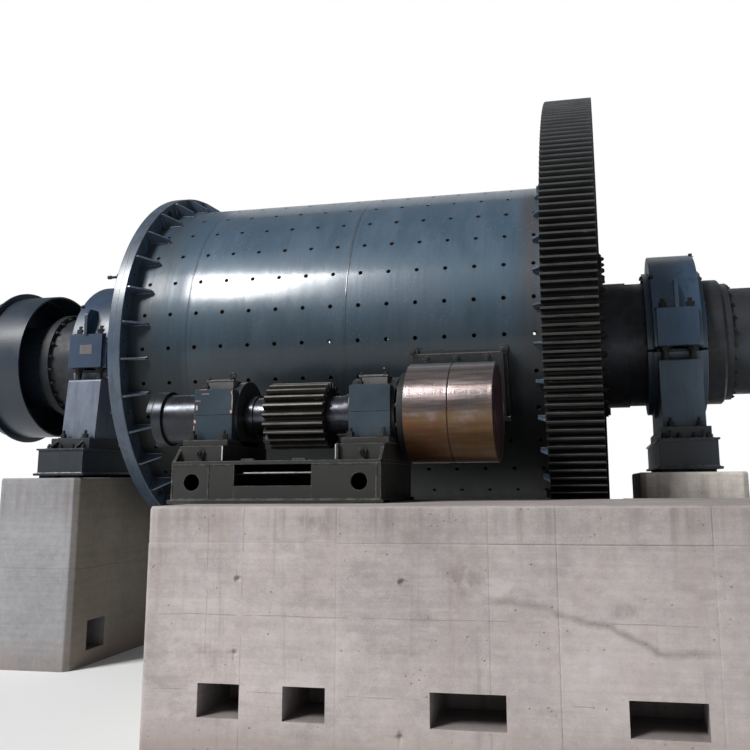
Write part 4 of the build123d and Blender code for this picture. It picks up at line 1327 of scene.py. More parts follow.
@dataclass
class HeadEnd:
    """Cast head and trunnion of one end, with the lifting pin of the left one."""

    face: float = 1.925
    ring_face: float = 1.983
    ring_outer: float = 1.69
    ring_inner: float = 1.49
    hub_face: float = 2.16
    hub: float = 0.70
    bore: float = 0.43
    plate: float = 0.07
    boss: float = 0.045
    hub_bolts: tuple = (0.645, 24)
    ring_bolts: tuple = (1.616, 32)

    def head(self) -> Form:
        """The right-hand head as one turned form."""
        p = self.plate
        corners = [(self.face + 0.0005, self.ring_outer), (self.face + 0.0005, self.ring_inner - p),
                   (self.hub_face - p, self.hub - p), (self.hub_face - p, self.bore),
                   (self.hub_face - 0.0005, self.bore), (self.hub_face - 0.0005, self.hub),
                   (self.ring_face, self.ring_inner), (self.ring_face, self.ring_outer)]
        return lathe(eased(corners, (0.0012, 0.02, 0.02, 0.004, 0.004, 0.02, 0.03, 0.005), 4), 288)

    def trunnion(self, left: bool) -> Form:
        """Trunnion of one side as a turned form, built to the right."""
        start = self.hub_face
        face = start + self.boss
        common = [(start, self.bore), (start, self.hub), (face, self.hub), (face, 0.59)]
        if left:
            corners = common + [(2.44, 0.59), (2.44, 0.578), (3.0, 0.578), (3.0, 0.50), (3.36, 0.50),
                                (3.36, 0.547), (3.44, 0.547), (3.44, self.bore)]
        else:
            corners = common + [(2.443, 0.59), (2.443, 0.578), (3.264, 0.578), (3.284, 0.558),
                                (3.284, self.bore)]
        return lathe(eased(corners, 0.005), 144)

    def build(self, palette: Palette, site: Site) -> None:
        """Builds both heads, both trunnions and their bolts."""
        ring_bolt = Fastener(0.046, 0.028, 0.005, 0.02)
        hub_bolt = Fastener(0.055, 0.032, 0.006, 0.02)
        (hub_circle, hub_count), (ring_circle, ring_count) = self.hub_bolts, self.ring_bolts
        for side in ("left", "right"):
            head, trunnion = self.head(), self.trunnion(side == "left")
            bolts = hub_bolt.round(self.hub_face + self.boss, hub_circle, even(hub_count))
            if side == "left":
                bolts = join(bolts, ring_bolt.round(self.ring_face, ring_circle, even(ring_count, -0.975)))
                head, trunnion, bolts = head.mirrored(), trunnion.mirrored(), bolts.mirrored()
            site.add(f"{side}_cast_head", head, palette.flange, Slot.FLANGE, f"{side}_head")
            site.add(f"{side}_turned_trunnion", trunnion, palette.trunnion, Slot.TRUNNION, f"{side}_trunnion")
            site.add(f"{side}_head_bolts", bolts, palette.bolts, Slot.SHAFT)
        spot = on_front(-self.ring_face + 0.01, 1.668, 19.6)
        pin = join(bar(0.012, 0, 0.105, 14), bar(0.017, 0.078, 0.112, 14))
        site.add("lifting_pin", pin.spread(standing(spot, (-1, 0, 0))), palette.bolts, Slot.SHAFT)


@dataclass
class GirthGear:
    """Girth gear in two bolted halves."""

    centre: float = 2.008
    half_face: float = 0.205
    teeth: int = 230
    tip: float = 2.3196
    root: float = 2.275
    rim: float = 2.215
    web: float = 0.025
    web_inner: float = 1.50
    split: float = 7.5
    ribs: int = 16
    rib_inner: float = 1.75
    web_bolts: tuple = (1.615, 64)

    def half(self, first: float) -> Form:
        """Toothed rim, web, ribs and joint pads from one front angle over half a turn.

        The outline of a tooth goes from the middle of one gap up its flank, over its tip and down to
        the middle of the next: a radius at each of eleven shares of the pitch.
        """
        mid = (self.root + self.tip) / 2
        shares = np.array([0.0, 0.13, 0.19, 0.26, 0.35, 0.41, 0.59, 0.65, 0.74, 0.81, 0.87])
        climb = (self.root, self.root, self.root + 0.007, mid, self.tip - 0.006, self.tip)
        count = self.teeth // 2
        share = np.append((np.arange(count)[:, None] + shares).ravel(), count - 1e-6)
        angles = first + share * 360 / self.teeth
        outer = np.append(np.tile(climb + climb[:0:-1], count), self.root)
        low, high = self.centre - self.half_face, self.centre + self.half_face
        ease, web = 0.003, self.web
        x = np.array([low, low, low + ease, high - ease, high, high, self.centre + web, self.centre + web,
                      self.centre - web, self.centre - web])
        one = np.ones_like(outer)
        radii = np.stack([one * self.rim, outer - ease, outer, outer, outer - ease, one * self.rim,
                          one * self.rim, one * self.web_inner, one * self.web_inner, one * self.rim], 1)
        body = carried(on_front(x[None], radii, angles[:, None]))
        rib = slab((low + 0.03, -self.rim - 0.01, -0.015), (high - 0.03, -self.rib_inner, 0.015), 0.004)
        step = 360 / self.ribs
        ribs = rib.spread(turns(first + (np.arange(self.ribs // 2) + 0.5) * step))
        pads = []
        for end, up in ((first, 1), (first + 180, -1)):
            pad = slab((low + 0.03, -self.rim - 0.01, 0.0006 * up),
                       (high + 0.028, -self.rim + 0.33, 0.045 * up), 0.004)
            pads.append(pad.spread(turns([end])))
        return join(body, ribs, *pads)

    def joint_bolts(self) -> Form:
        """Nuts and heads on both sides of the joint pads."""
        low, high = self.centre - self.half_face, self.centre + self.half_face
        spots = np.array([(x, -r, 0.045) for x in (low + 0.09, high - 0.09, high + 0.001)
                          for r in (2.165, 2.045, 1.94)])
        nut = Fastener(0.05, 0.032, 0.005, 0.022).on(spots, (0, 0, 1), 12)
        head = Fastener(0.05, 0.03, 0.005).on(spots * [1, 1, -1], (0, 0, -1), 40)
        return join(nut, head).spread(turns([self.split, self.split + 180]))

    def head_bolts(self) -> Form:
        """Bolts through the web into the right head's ring."""
        radius, count = self.web_bolts
        return Fastener(0.046, 0.028, 0.005, 0.018).round(self.centre + self.web, radius, even(count, 1.2))

    def build(self, palette: Palette, site: Site) -> None:
        """Builds the two halves and their bolts."""
        for half, first in (("upper", self.split), ("lower", self.split + 180)):
            site.add(f"gear_{half}_half", self.half(first), palette.gear, Slot.GEAR, f"girth_gear_{half}",
                     sharp=28)
        site.add("gear_bolts", join(self.joint_bolts(), self.head_bolts()), palette.bolts, Slot.SHAFT)


@dataclass
class Manhole:
    """Manhole frame and cover bent to the shell, with clamps and bolts."""

    x_low: float = 0.695
    x_high: float = 1.480
    half_height: float = 0.28
    radius: float = 1.54
    rise: float = 0.055
    cover_rise: float = 0.04
    inset: float = 0.03
    angle: float = -18.0

    def bent(self, x_low: float, x_high: float, half: float, low: float, high: float) -> Form:
        """Plate between two heights over the shell: its section carried round the shell's curve."""
        corners = [(x_low, low), (x_high, low), (x_high, high), (x_low, high)]
        section = eased(corners, 0.006, 4)
        reach = math.degrees(half / self.radius)
        angles = self.angle + np.linspace(-reach, reach, 33)
        return carried(on_front(section[None, :, 0], self.radius + section[None, :, 1], angles[:, None]))

    def build(self, palette: Palette, site: Site) -> None:
        """Builds frame, cover, clamp lugs and bolts."""
        frame_form = self.bent(self.x_low, self.x_high, self.half_height, 0.0, self.rise)
        cover = self.bent(self.x_low + self.inset, self.x_high - self.inset, self.half_height - self.inset,
                          self.rise + 0.0008, self.rise + self.cover_rise)
        reach = math.degrees(self.half_height / self.radius)
        lugs = []
        for x in (self.x_low + 0.021, self.x_high - 0.037):
            for side in (-1, 1):
                lug = slab((x - 0.03, -self.radius - 0.094, -0.02), (x + 0.036, -self.radius + 0.004, 0.02),
                           0.005)
                lugs.append(lug.spread(turns([self.angle + side * (reach - 0.4)])))
        site.add("manhole_rim", join(frame_form, *lugs), palette.hatch, Slot.FLANGE, "manhole_frame")
        site.add("manhole_lid", cover, palette.hatch, Slot.FLANGE, "manhole_cover")
        lip = self.radius + self.rise
        xs = np.array([0.829, 1.078, 1.323])
        rows = [on_front(xs, lip + self.cover_rise - 0.004, self.angle + side * (reach - 2.2))
                for side in (-1, 1)]
        spots = np.concatenate(rows)
        outward = spots * [0, 1, 1]
        bolts = Fastener(0.036, 0.022, 0.004).on(spots, outward, 20)
        tops = on_front(np.array([self.x_low + 0.021, self.x_high - 0.037]), lip + 0.036, self.angle + reach
                        - 0.4)
        nuts = Fastener(0.042, 0.024, 0.004, 0.016).on(tops, tops * [0, 1, 1], 5)
        site.add("manhole_bolts", join(bolts, nuts), palette.hatch, Slot.FLANGE)
        # Painted highlight: a pale strip along the cover's upper edge stands in for light catching that edge.
        end = self.angle + math.degrees((self.half_height - self.inset) / self.radius)
        edge = slab((self.x_low + self.inset + 0.006, -lip - self.cover_rise - 0.0012, -0.004),
                    (self.x_high - self.inset - 0.006, -lip - 0.004, 0.003), 0.001).spread(turns([end]))
        site.add("manhole_painted_highlight", edge, palette.lid, Slot.FLANGE)


@dataclass
class Feeder:
    """Feeder drum, its end plate, ring and neck beyond the left trunnion."""

    neck: tuple = (-4.036, -3.44, 0.44, 0.415)
    flange: tuple = (-3.47, -3.44, 0.53, 0.42)
    plate: tuple = (-4.061, -4.036, 0.742, 0.33)
    drum: tuple = (-4.061, -3.541, 0.76, 0.742)
    ring: tuple = (-3.953, -3.931, 0.812, 0.758)
    stud_circle: float = 0.492
    back_nuts: tuple = (-3.36, 0.524)

    def build(self, palette: Palette, site: Site) -> None:
        """Builds the four pieces and the studs of the neck's flange."""
        neck = join(tube(*self.neck), tube(*self.flange))
        site.add("feeder_throat", neck, palette.feeder, Slot.TRUNNION, "feeder_neck")
        site.add("feeder_back", tube(*self.plate), palette.feeder, Slot.TRUNNION, "feeder_end_plate")
        drum = join(tube(*self.drum, 0.003, 216), weld(on_front(self.drum[1] - 0.26, 0.741,
                    np.linspace(0, 359, 300)), 0.006, (1, 0, 0), 4))
        site.add("feeder_scoop_drum", drum, palette.feeder, Slot.TRUNNION, "feeder_drum")
        site.add("feeder_band", tube(*self.ring, 0.003, 216), palette.feeder, Slot.TRUNNION, "feeder_ring")
        angles = even(48, 4)
        studs = join(bar(0.009, -0.02, 0.075, 8), Fastener(0.03, 0.018, 0.003).form())
        spots = on_front(self.flange[0], self.stud_circle, angles)
        nuts = Fastener(0.03, 0.02, 0.003, 0.014).round(*self.back_nuts, angles[::2])
        site.add("feeder_studs", join(studs.spread(standing(spots, (-1, 0, 0), angles)), nuts), palette.bolts,
                 Slot.SHAFT)


@dataclass
class Spout:
    """Discharge spout bolted to the right trunnion."""

    start: float = 3.284
    flange: float = 0.54
    flange_thickness: float = 0.06
    radius: float = 0.491
    inner: float = 0.475
    end: float = 3.764
    lip: float = 0.53
    lip_thickness: float = 0.02
    bolt_circle: float = 0.516

    def build(self, palette: Palette, site: Site) -> None:
        """Builds the spout and its flange bolts."""
        face, lip = self.start + self.flange_thickness, self.end - self.lip_thickness
        corners = [(self.start, self.inner), (self.start, self.flange), (face, self.flange),
                   (face, self.radius), (lip, self.radius), (lip, self.lip), (self.end, self.lip),
                   (self.end, self.inner)]
        site.add("discharge_mouth", lathe(eased(corners, 0.004), 144), palette.trunnion, Slot.TRUNNION,
                 "discharge_spout")
        bolts = Fastener(0.03, 0.018, 0.003, 0.012).round(face, self.bolt_circle, even(24, 3))
        site.add("spout_bolts", bolts, palette.bolts, Slot.SHAFT)


@dataclass
class TrunnionBearing:
    """One main bearing: cap, pedestal, studs, base and packers, built round its middle."""

    side: str
    x: float
    bore: float = 0.604
    arch: float = 0.82
    half_width: float = 0.204
    seal: float = 0.668
    seal_bore: float = 0.597
    seal_half: float = 0.254
    split: float = -0.14
    block_half: float = 0.175
    block: tuple = (0.604, 0.860)
    block_top: float = 0.19
    fin: tuple = (0.56, 0.878, 0.445)
    saddle: float = 0.708
    journal: float = 0.5788
    shoulder: float = 0.65
    top: tuple = (0.835, -0.255)
    foot: tuple = (0.89, -0.83)
    upper: tuple = (0.20, 1.01, -0.93)
    box: tuple = (0.23, 1.15, -1.155)
    plate: tuple = (0.255, 1.175, -1.177)
    packer_low: float = -1.20
    stud_x: float = 0.115
    stud_y: float = 0.765

    def arch_ring(self, x_half: float, outer: float, inner: float, upper: bool, ease: float = 0.006) -> Form:
        """Ring above or below the split plane, its ends flattened onto that plane."""
        corners = [(-x_half, inner), (x_half, inner), (x_half, outer), (-x_half, outer)]
        lean = math.degrees(math.asin(-self.split / inner))
        first, last = (-lean, 180 + lean) if upper else (180 + lean, 360 - lean)
        form = lathe(eased(corners, ease), 96, first, last)
        return form.levelled(low=self.split) if upper else form.levelled(high=self.split)

    def cap(self) -> Form:
        """Arched cover with seals, bolting blocks and fins."""
        parts = [self.arch_ring(self.half_width, self.arch, self.bore, True, 0.012),
                 self.arch_ring(self.seal_half, self.seal, self.seal_bore, True)]
        for side in (-1, 1):
            inner, outer = side * (self.block[0] + 0.02), side * self.block[1]
            parts.append(slab((-self.block_half, inner, self.split), (self.block_half, outer, self.block_top),
                              0.007))
            a, b, top = self.fin
            outline = eased([(side * b, self.block_top - 0.01), (side * b, top - 0.06),
                             (side * (b - 0.05), top), (side * a, top), (side * a, self.block_top - 0.01)],
                            0.012)
            parts.append(prism(outline, -0.015, 0.015, "x", 0.002))
        return join(*parts)

    def pedestal(self) -> Form:
        """Raking lower housing with its saddle and seal halves.

        The half bore is part of the outline, which runs round the journal between the shoulders.
        """
        drop = math.asin(-self.split / self.journal)
        turn = np.linspace(np.pi + drop, 2 * np.pi - drop, 61)
        bore = np.stack([self.journal * np.cos(turn), self.journal * np.sin(turn)], 1)
        outer = eased([(self.shoulder, self.split), (self.shoulder, self.top[1]), (self.top[0], self.top[1]),
                       self.foot, (-self.foot[0], self.foot[1]), (-self.top[0], self.top[1]),
                       (-self.shoulder, self.top[1]), (-self.shoulder, self.split)],
                      (0.003, 0.02, 0.022, 0.004, 0.004, 0.022, 0.02, 0.003), 4)
        body = prism(np.concatenate([bore, outer]), -self.block_half, self.block_half, "x", 0.005)
        saddle = self.arch_ring(self.half_width, self.saddle, self.journal, False)
        seal = self.arch_ring(self.seal_half, self.seal, self.journal + 0.001, False)
        return join(body, saddle, seal)

    def bolts(self) -> Form:
        """Cap nuts, seal screws, foot bolts, base bolts and jacking screws."""
        pair, four = (-self.stud_x, self.stud_x), (-0.178, -0.062, 0.062, 0.178)
        rows = ((Fastener(0.078, 0.05, 0.008, 0.034), pair, self.stud_y, self.block_top, 1, (8.0, 31.0)),
                (Fastener(0.07, 0.03, 0.006), pair, self.stud_y, self.split, -1, (3.0, 22.0)),
                (Fastener(0.05, 0.036, 0.007, 0.034), pair, 0.945, self.foot[1], 1, (12.0, 33.0)),
                (Fastener(0.04, 0.026, 0.005, 0.016), four, 1.062, self.upper[2], 1, (4.0, 27.0, 15.0, 50.0)))
        parts = [bolt.on([(x, side * y, z) for x in xs], (0, 0, way), np.array(twists))
                 for side in (-1, 1) for bolt, xs, y, z, way, twists in rows]
        screw_angles = np.arange(-6, 187, 16.0)
        parts += [Fastener(0.026, 0.014, 0.003).round(face * self.seal_half, 0.633, screw_angles, face)
                  for face in (-1, 1)]
        spots = on_front(np.array([0.19, -0.19, 0.19, -0.19]), self.arch - 0.012,
                         np.array([72.0, 38.0, 108.0, 142.0]))
        parts.append(Fastener(0.032, 0.026, 0.004).on(spots, spots * [0, 1, 1], 15))
        return join(*parts)

    def blank_plate(self) -> Form:
        """Blank plate with four rivets on the front block."""
        y, z = -self.block[1], 0.035
        plate = slab((-0.055, y - 0.003, z - 0.045), (0.075, y + 0.001, z + 0.045), 0.0012)
        rivets = Fastener(0.008, 0.003).on([(x, y - 0.003, z + dz) for x in (-0.045, 0.065)
                                            for dz in (-0.036, 0.036)], (0, -1, 0), 20)
        return join(plate, rivets)

    def base(self) -> Form:
        """Box base with stepped-in upper part, raking ribs, foot plate and weld beads."""
        upper, box, plate = self.upper, self.box, self.plate
        parts = [slab((-upper[0], -upper[1], upper[2] - 0.005), (upper[0], upper[1], self.foot[1]), 0.005),
                 slab((-box[0], -box[1], box[2] - 0.004), (box[0], box[1], upper[2]), 0.006),
                 slab((-box[0] - 0.014, -box[1] - 0.014, upper[2] - 0.016),
                      (box[0] + 0.014, box[1] + 0.014, upper[2]), 0.003),
                 slab((-plate[0], -plate[1], plate[2]), (plate[0], plate[1], box[2]), 0.004)]
        for side in (-1, 1):
            near, far = side * upper[1], side * (upper[1] + 0.11)
            outline = eased([(near, upper[2]), (far, upper[2]), (far, upper[2] + 0.012),
                             (near, self.foot[1] - 0.025)], 0.002)
            parts += [prism(outline, x - 0.008, x + 0.008, "x", 0.0015) for x in (-0.13, 0.13)]
        rim = [(sx * box[0], sy * box[1], box[2]) for sx, sy in ((-1, -1), (1, -1), (1, 1), (-1, 1))]
        for start, end in zip(rim, rim[1:] + rim[:1]):
            parts.append(weld(straight(start, end), 0.007, (0, 0, 1), 6))
        return join(*parts)

    def packers(self) -> Form:
        """Steel packers in two rows, each one a little askew."""
        rng = np.random.default_rng(7 if self.side == "left" else 9)
        reach = self.box[1] - 0.055
        spots = np.array([(x, y, 0) for y in np.linspace(-reach, reach, 5)
                          for x in (-self.stud_x, self.stud_x)])
        form = slab((-0.09, -0.055, self.packer_low), (0.09, 0.055, self.plate[2] - 0.0004), 0.002)
        swing = np.radians(rng.uniform(-4, 4, len(spots)))
        matrices = shifts(spots)
        matrices[:, 0, 0] = matrices[:, 1, 1] = np.cos(swing)
        matrices[:, 1, 0], matrices[:, 0, 1] = np.sin(swing), -np.sin(swing)
        return form.spread(matrices)

    def build(self, palette: Palette, site: Site) -> None:
        """Builds the bearing's pieces at its place on the mill axis."""
        here, side = site.moved(self.x), self.side
        # Painted light: both leg paints and the right cap's paint are paler than the left cap's paint,
        # standing in for how light falls on each.
        cover, leg = ((palette.bearing, palette.pedestal) if side == "left"
                      else (palette.right_cap_painted_light, palette.right_leg))
        here.add(f"{side}_cap_cover", self.cap(), cover, Slot.BEARING, f"{side}_bearing_cap")
        here.add(f"{side}_lower_housing", self.pedestal(), leg, Slot.BEARING, f"{side}_bearing_pedestal")
        here.add(f"{side}_box_base", self.base(), palette.footing, Slot.BEARING, f"{side}_bearing_base")
        if side == "left":
            here.add("blank_plate", self.blank_plate(), palette.lid, Slot.BEARING)
        here.add(f"{side}_packers", self.packers(), palette.bolts, Slot.SHAFT, f"{side}_bearing_packers")
        studs = bar(0.03, self.top[1], self.split, 20)
        spots = [(x, y, 0) for x in (-self.stud_x, self.stud_x) for y in (-self.stud_y, self.stud_y)]
        here.add(f"{side}_cap_studs", join(studs.spread(shifts(spots)), self.bolts()), palette.bolts,
                 Slot.SHAFT, f"{side}_bearing_studs")


@dataclass
class PinionStand:
    """Fixed part of the pinion assembly, built round the middle of the pinion."""

    housing_x: tuple = (-0.568, 0.580)
    half_width: float = 0.145
    half_depth: float = 0.293
    rise: float = 0.186
    drop: float = 0.221
    arch: float = 0.26
    arch_half: float = 0.165
    cut: float = 0.008
    foot_front: float = 0.40
    foot_back: float = 0.29
    foot_thickness: float = 0.042
    lid_half: float = 0.105
    lid_depth: float = 0.19
    lid_top: float = 0.264
    bore: float = 0.1206
    block_height: float = 0.108
    frame_half: float = 0.73
    front: float = -0.553
    back: float = 0.32
    height: float = 0.28
    plate: float = 0.025
    seats: tuple = (-0.392, 0.404)
    slot: tuple = (-0.28, 0.26, 0.14)
    border: float = 0.146
    shelf_drop: float = 0.076
    foot_margin: float = 0.02
    hand_hole: float = 0.056
    rib: tuple = (0.40, 0.412)
    pads: tuple = (-0.19, 0.17)
    foot_nuts: tuple = ((-0.115, 0.115), (-0.352, 0.262))
    foot_twists: tuple = (5.0, 20.0, 41.0, 12.0)
    joint_nuts: tuple = ((-0.078, -0.235), (0.078, 0.235))
    lid_inset: float = 0.018
    eye: tuple = (0.066, -0.11)
    flakes: tuple = (
        (-0.1, -0.032, 0.149, 0.153), (-0.145, -0.095, 0.1, 0.104), (-0.133, -0.117, 0.034, 0.072),
        (-0.145, -0.128, -0.058, -0.03), (-0.112, -0.05, 0.18, 0.184), (0.141, 0.1455, 0.03, 0.178),
        (0.134, 0.1455, 0.14, 0.17), (0.128, 0.1455, 0.008, 0.036), (-0.145, -0.139, -0.11, -0.07))
    flake_points: int = 9

    def cap(self) -> Form:
        """Upper block of one housing."""
        w, c = self.half_width, self.cut
        outline = eased([(-w, 0.001), (w, 0.001), (w, self.rise - c), (w - c, self.rise), (-w + c, self.rise),
                         (-w, self.rise - c)], (0.002, 0.002, 0.004, 0.004, 0.004, 0.004))
        return prism(outline, -self.half_depth, self.half_depth, "y", 0.003)

    def collars(self) -> Form:
        """Round collars of one housing, in two halves, the lower cut off level at the foot."""
        upper, lower = (tube(-self.arch_half, self.arch_half, self.arch, self.bore, 0.006, 64, *span)
                        for span in ((0.2, 179.8), (180.2, 359.8)))
        return join(upper, lower.levelled(low=-self.drop + 0.001))

    def lid(self) -> Form:
        """Boss on the housing's top with its cover plate."""
        x, y, top = self.lid_half, self.lid_depth, self.lid_top - 0.0158
        return join(slab((-x + 0.005, -y + 0.005, self.rise - 0.01), (x - 0.005, y - 0.005, top - 0.0002),
                         0.004), slab((-x, -y, top), (x, y, self.lid_top), 0.004))

    def lower(self) -> Form:
        """Lower block of one housing."""
        w = self.half_width
        outline = eased([(-w, -self.drop), (w, -self.drop), (w, -0.001), (-w, -0.001)],
                        (0.002, 0.002, 0.004, 0.004))
        return prism(outline, -self.half_depth, self.half_depth, "y", 0.003)

    def sole(self) -> Form:
        """Foot plate of one housing."""
        return slab((-self.arch_half, -self.foot_front, -self.drop),
                    (self.arch_half, self.foot_back, -self.drop + self.foot_thickness), 0.005)

    def chips(self) -> Form:
        """Flaked spots of primer on the left housing's front face, as thin uneven scales."""
        rng = np.random.default_rng(4)
        scales = []
        for x0, x1, z0, z1 in self.flakes:
            turn = np.linspace(0, 2 * np.pi, self.flake_points, endpoint=False)
            reach = rng.uniform(0.72, 1.0, self.flake_points)
            square = np.maximum(np.abs(np.cos(turn)), np.abs(np.sin(turn)))
            outline = np.stack([(x0 + x1) / 2 + (x1 - x0) / 2 * reach * np.cos(turn) / square,
                                (z0 + z1) / 2 + (z1 - z0) / 2 * reach * np.sin(turn) / square], 1)
            scales.append(prism(outline, -self.half_depth - 0.0006, -self.half_depth + 0.001, "y", 0.0))
        return join(*scales)

    def housing_bolts(self) -> Form:
        """Foot nuts, lid screws and joint nuts of one housing."""
        low = -self.drop + self.foot_thickness
        feet = [(x, y, low) for x in self.foot_nuts[0] for y in self.foot_nuts[1]]
        reach, deep = self.lid_half - self.lid_inset, self.lid_depth - self.lid_inset
        lid = [(x, y, self.lid_top) for x in (-reach, reach) for y in (-deep, deep)]
        joint = [(*spot, self.rise) for spot in self.joint_nuts]
        rows = ((Fastener(0.05, 0.034, 0.007, 0.026), feet, np.array(self.foot_twists)),
                (Fastener(0.024, 0.014, 0.003), lid, 15), (Fastener(0.034, 0.026, 0.004, 0.022), joint, 9))
        return join(*[bolt.on(spots, (0, 0, 1), twists) for bolt, spots, twists in rows])

    def pedestals(self) -> Form:
        """Both raised seats, each between a raking outer plate and a square inner one."""
        low, high = -self.drop - self.block_height, -self.drop
        rake = eased([(-0.545, low), (self.foot_back, low), (self.foot_back, high), (-0.438, high)], 0.003)
        parts = []
        for side, inner, mid in zip((-1, 1), self.seats, self.housing_x):
            outer = side * self.frame_half
            parts += [slab((outer - side * 0.004, -0.465, low),
                           (inner + side * 0.004, self.foot_back - 0.004, high - 0.0006), 0.002),
                      prism(rake, *sorted((outer, outer - side * 0.02)), "x", 0.002),
                      slab((inner + side * 0.02, -0.495, low), (inner, self.foot_back, high), 0.003),
                      slab((mid - 0.022, -0.480, low), (mid + 0.022, -0.46, high - 0.03), 0.003)]
        return join(*parts)

    def frame(self) -> Form:
        """Welded box frame: pierced front and back walls, slot, ends, top, shelf, foot and pads."""
        top = -self.drop - self.block_height
        base, shelf = top - self.height, top - self.shelf_drop
        half, p, border, front, back = self.frame_half, self.plate, self.border, self.front, self.back
        left, right, slot_height = self.slot
        slot_low, hole_z, m = top - p - slot_height, base + self.height / 2, self.foot_margin
        hole, (rib_in, rib_out) = self.hand_hole, self.rib
        parts = []
        for y in (front, back - p):
            faces = (y, y + p)
            parts += [pierced((-half, base), (left, top), (-half + border, hole_z), hole, faces),
                      pierced((right, base), (half, top), (half - border, hole_z), hole, faces),
                      slab((left - 0.001, y, base), (right + 0.001, y + p, slot_low), 0.0008)]
            if y > 0:
                parts.append(slab((left - 0.001, y, slot_low - 0.001), (right + 0.001, y + p, top), 0.0008))
        rows = [((-half, front - 0.004, top - p), (half, back + 0.004, top), 0.003)]
        for side in (-1, 1):
            rows += [((side * (half - p), front + p - 0.001, base + 0.001),
                      (side * half, back - p + 0.001, top - p + 0.001), 0.001),
                     ((side * rib_in, front + p - 0.001, base + 0.002),
                      (side * rib_out, back - p + 0.001, top - p + 0.001), 0.001),
                     ((side * 0.41, -0.1, base + 0.002), (side * (half - p), -0.088, top - p), 0.002)]
        rows.append(((-half + p, front + 0.156, shelf - 0.013), (half - p, back - p, shelf), 0.002))
        rows += [((-half - m, y0, base), (half + m, y1, base + p), 0.004)
                 for y0, y1 in ((front - m, front + border), (back - border, back + m))]
        rows += [((side * (half - border), front, base + 0.001), (side * (half + m), back, base + p - 0.001),
                  0.004) for side in (-1, 1)]
        rows += [((x - 0.044, front, top - 0.002), (x + 0.044, front + 0.06, top + 0.013), 0.003)
                 for x in self.pads]
        runs = [((-half, front, base + p), (half, front, base + p), 0.007),
                ((-half, front, top - p), (left, front, top - p), 0.005),
                ((right, front, top - p), (half, front, top - p), 0.005),
                ((-half + 0.008, front, base + p), (-half + 0.008, front, top - p), 0.005),
                ((half - 0.028, front, base + p), (half - 0.028, front, top - p), 0.006),
                ((-0.46, front, base + p), (-0.46, front, top - p), 0.005),
                ((-half, back, base + p), (half, back, base + p), 0.007)]
        beads = [weld(straight(a, b), radius, (0, 1, 0.3), 3 + i) for i, (a, b, radius) in enumerate(runs)]
        return join(*parts, *[slab(*row) for row in rows], *beads)

    def stand_bolts(self) -> Form:
        """Jack bolts in the pedestals' front plates and anchor nuts on the foot."""
        jack = Fastener(0.036, 0.022, 0.004, 0.02)
        parts = [jack.on([(x, -0.480, -self.drop - 0.05)], (0, -1, 0), 10) for x in self.housing_x]
        base = -self.drop - self.block_height - self.height + self.plate
        spots = [(side * (self.frame_half - 0.075), y, base) for side in (-1, 1)
                 for y in (self.front + 0.075, self.back - 0.07)]
        return join(*parts, Fastener(0.05, 0.032, 0.006, 0.03).on(spots, (0, 0, 1), 18))

    def build(self, palette: Palette, site: Site) -> None:
        """Builds housings, pedestals, frame and fasteners."""
        for side, x in zip(("left", "right"), self.housing_x):
            here = site.moved(x)
            here.add(f"{side}_housing_top", self.cap(), palette.housing, Slot.HOUSING, f"pinion_{side}_cap")
            here.add(f"{side}_housing_lid", self.lid(), palette.lid, Slot.HOUSING)
            # Painted shade: the collars get near-black grey paint for the shade that they sit in.
            here.add(f"{side}_housing_collars", self.collars(), palette.collar, Slot.HOUSING)
            here.add(f"{side}_housing_foot", self.lower(), palette.housing, Slot.HOUSING,
                     f"pinion_{side}_housing")
            eye = eyebolt(0.021, 0.0048, 0.013).at(*self.eye, self.lid_top - 0.002)
            here.add(f"{side}_lifting_eye", eye, palette.coupling, Slot.SHAFT)
            here.add(f"{side}_housing_sole", self.sole(), palette.base, Slot.HOUSING)
            here.add(f"{side}_housing_bolts", self.housing_bolts(), palette.bolts, Slot.SHAFT)
        site.moved(self.housing_x[0]).add("paint_chips", self.chips(), palette.chips, Slot.HOUSING)
        site.add("pinion_seats", self.pedestals(), palette.base, Slot.FRAME, "pinion_pedestals")
        site.add("welded_frame", self.frame(), palette.base, Slot.FRAME, "pinion_base_frame")
        low, high = -self.drop - self.block_height, -self.drop
        shelf = low - self.shelf_drop
        # Painted highlights: a near-white strip at the shelf and two thin strips on the seats' front edges
        # stand in for light catching those edges.
        strip = slab((-0.23, self.front + 0.045, shelf - 0.0075),
                     (0.272, self.front + 0.158, shelf + 0.0006), 0.001)
        edges = [slab((x, -0.4975, low + 0.004), (x + 0.007, -0.492, high - 0.006), 0.001)
                 for x in (-0.3985, 0.4035)]
        site.add("painted_highlight_edges", join(strip, *edges), palette.bright, Slot.FRAME)
        site.add("frame_bolts", self.stand_bolts(), palette.bolts, Slot.SHAFT)


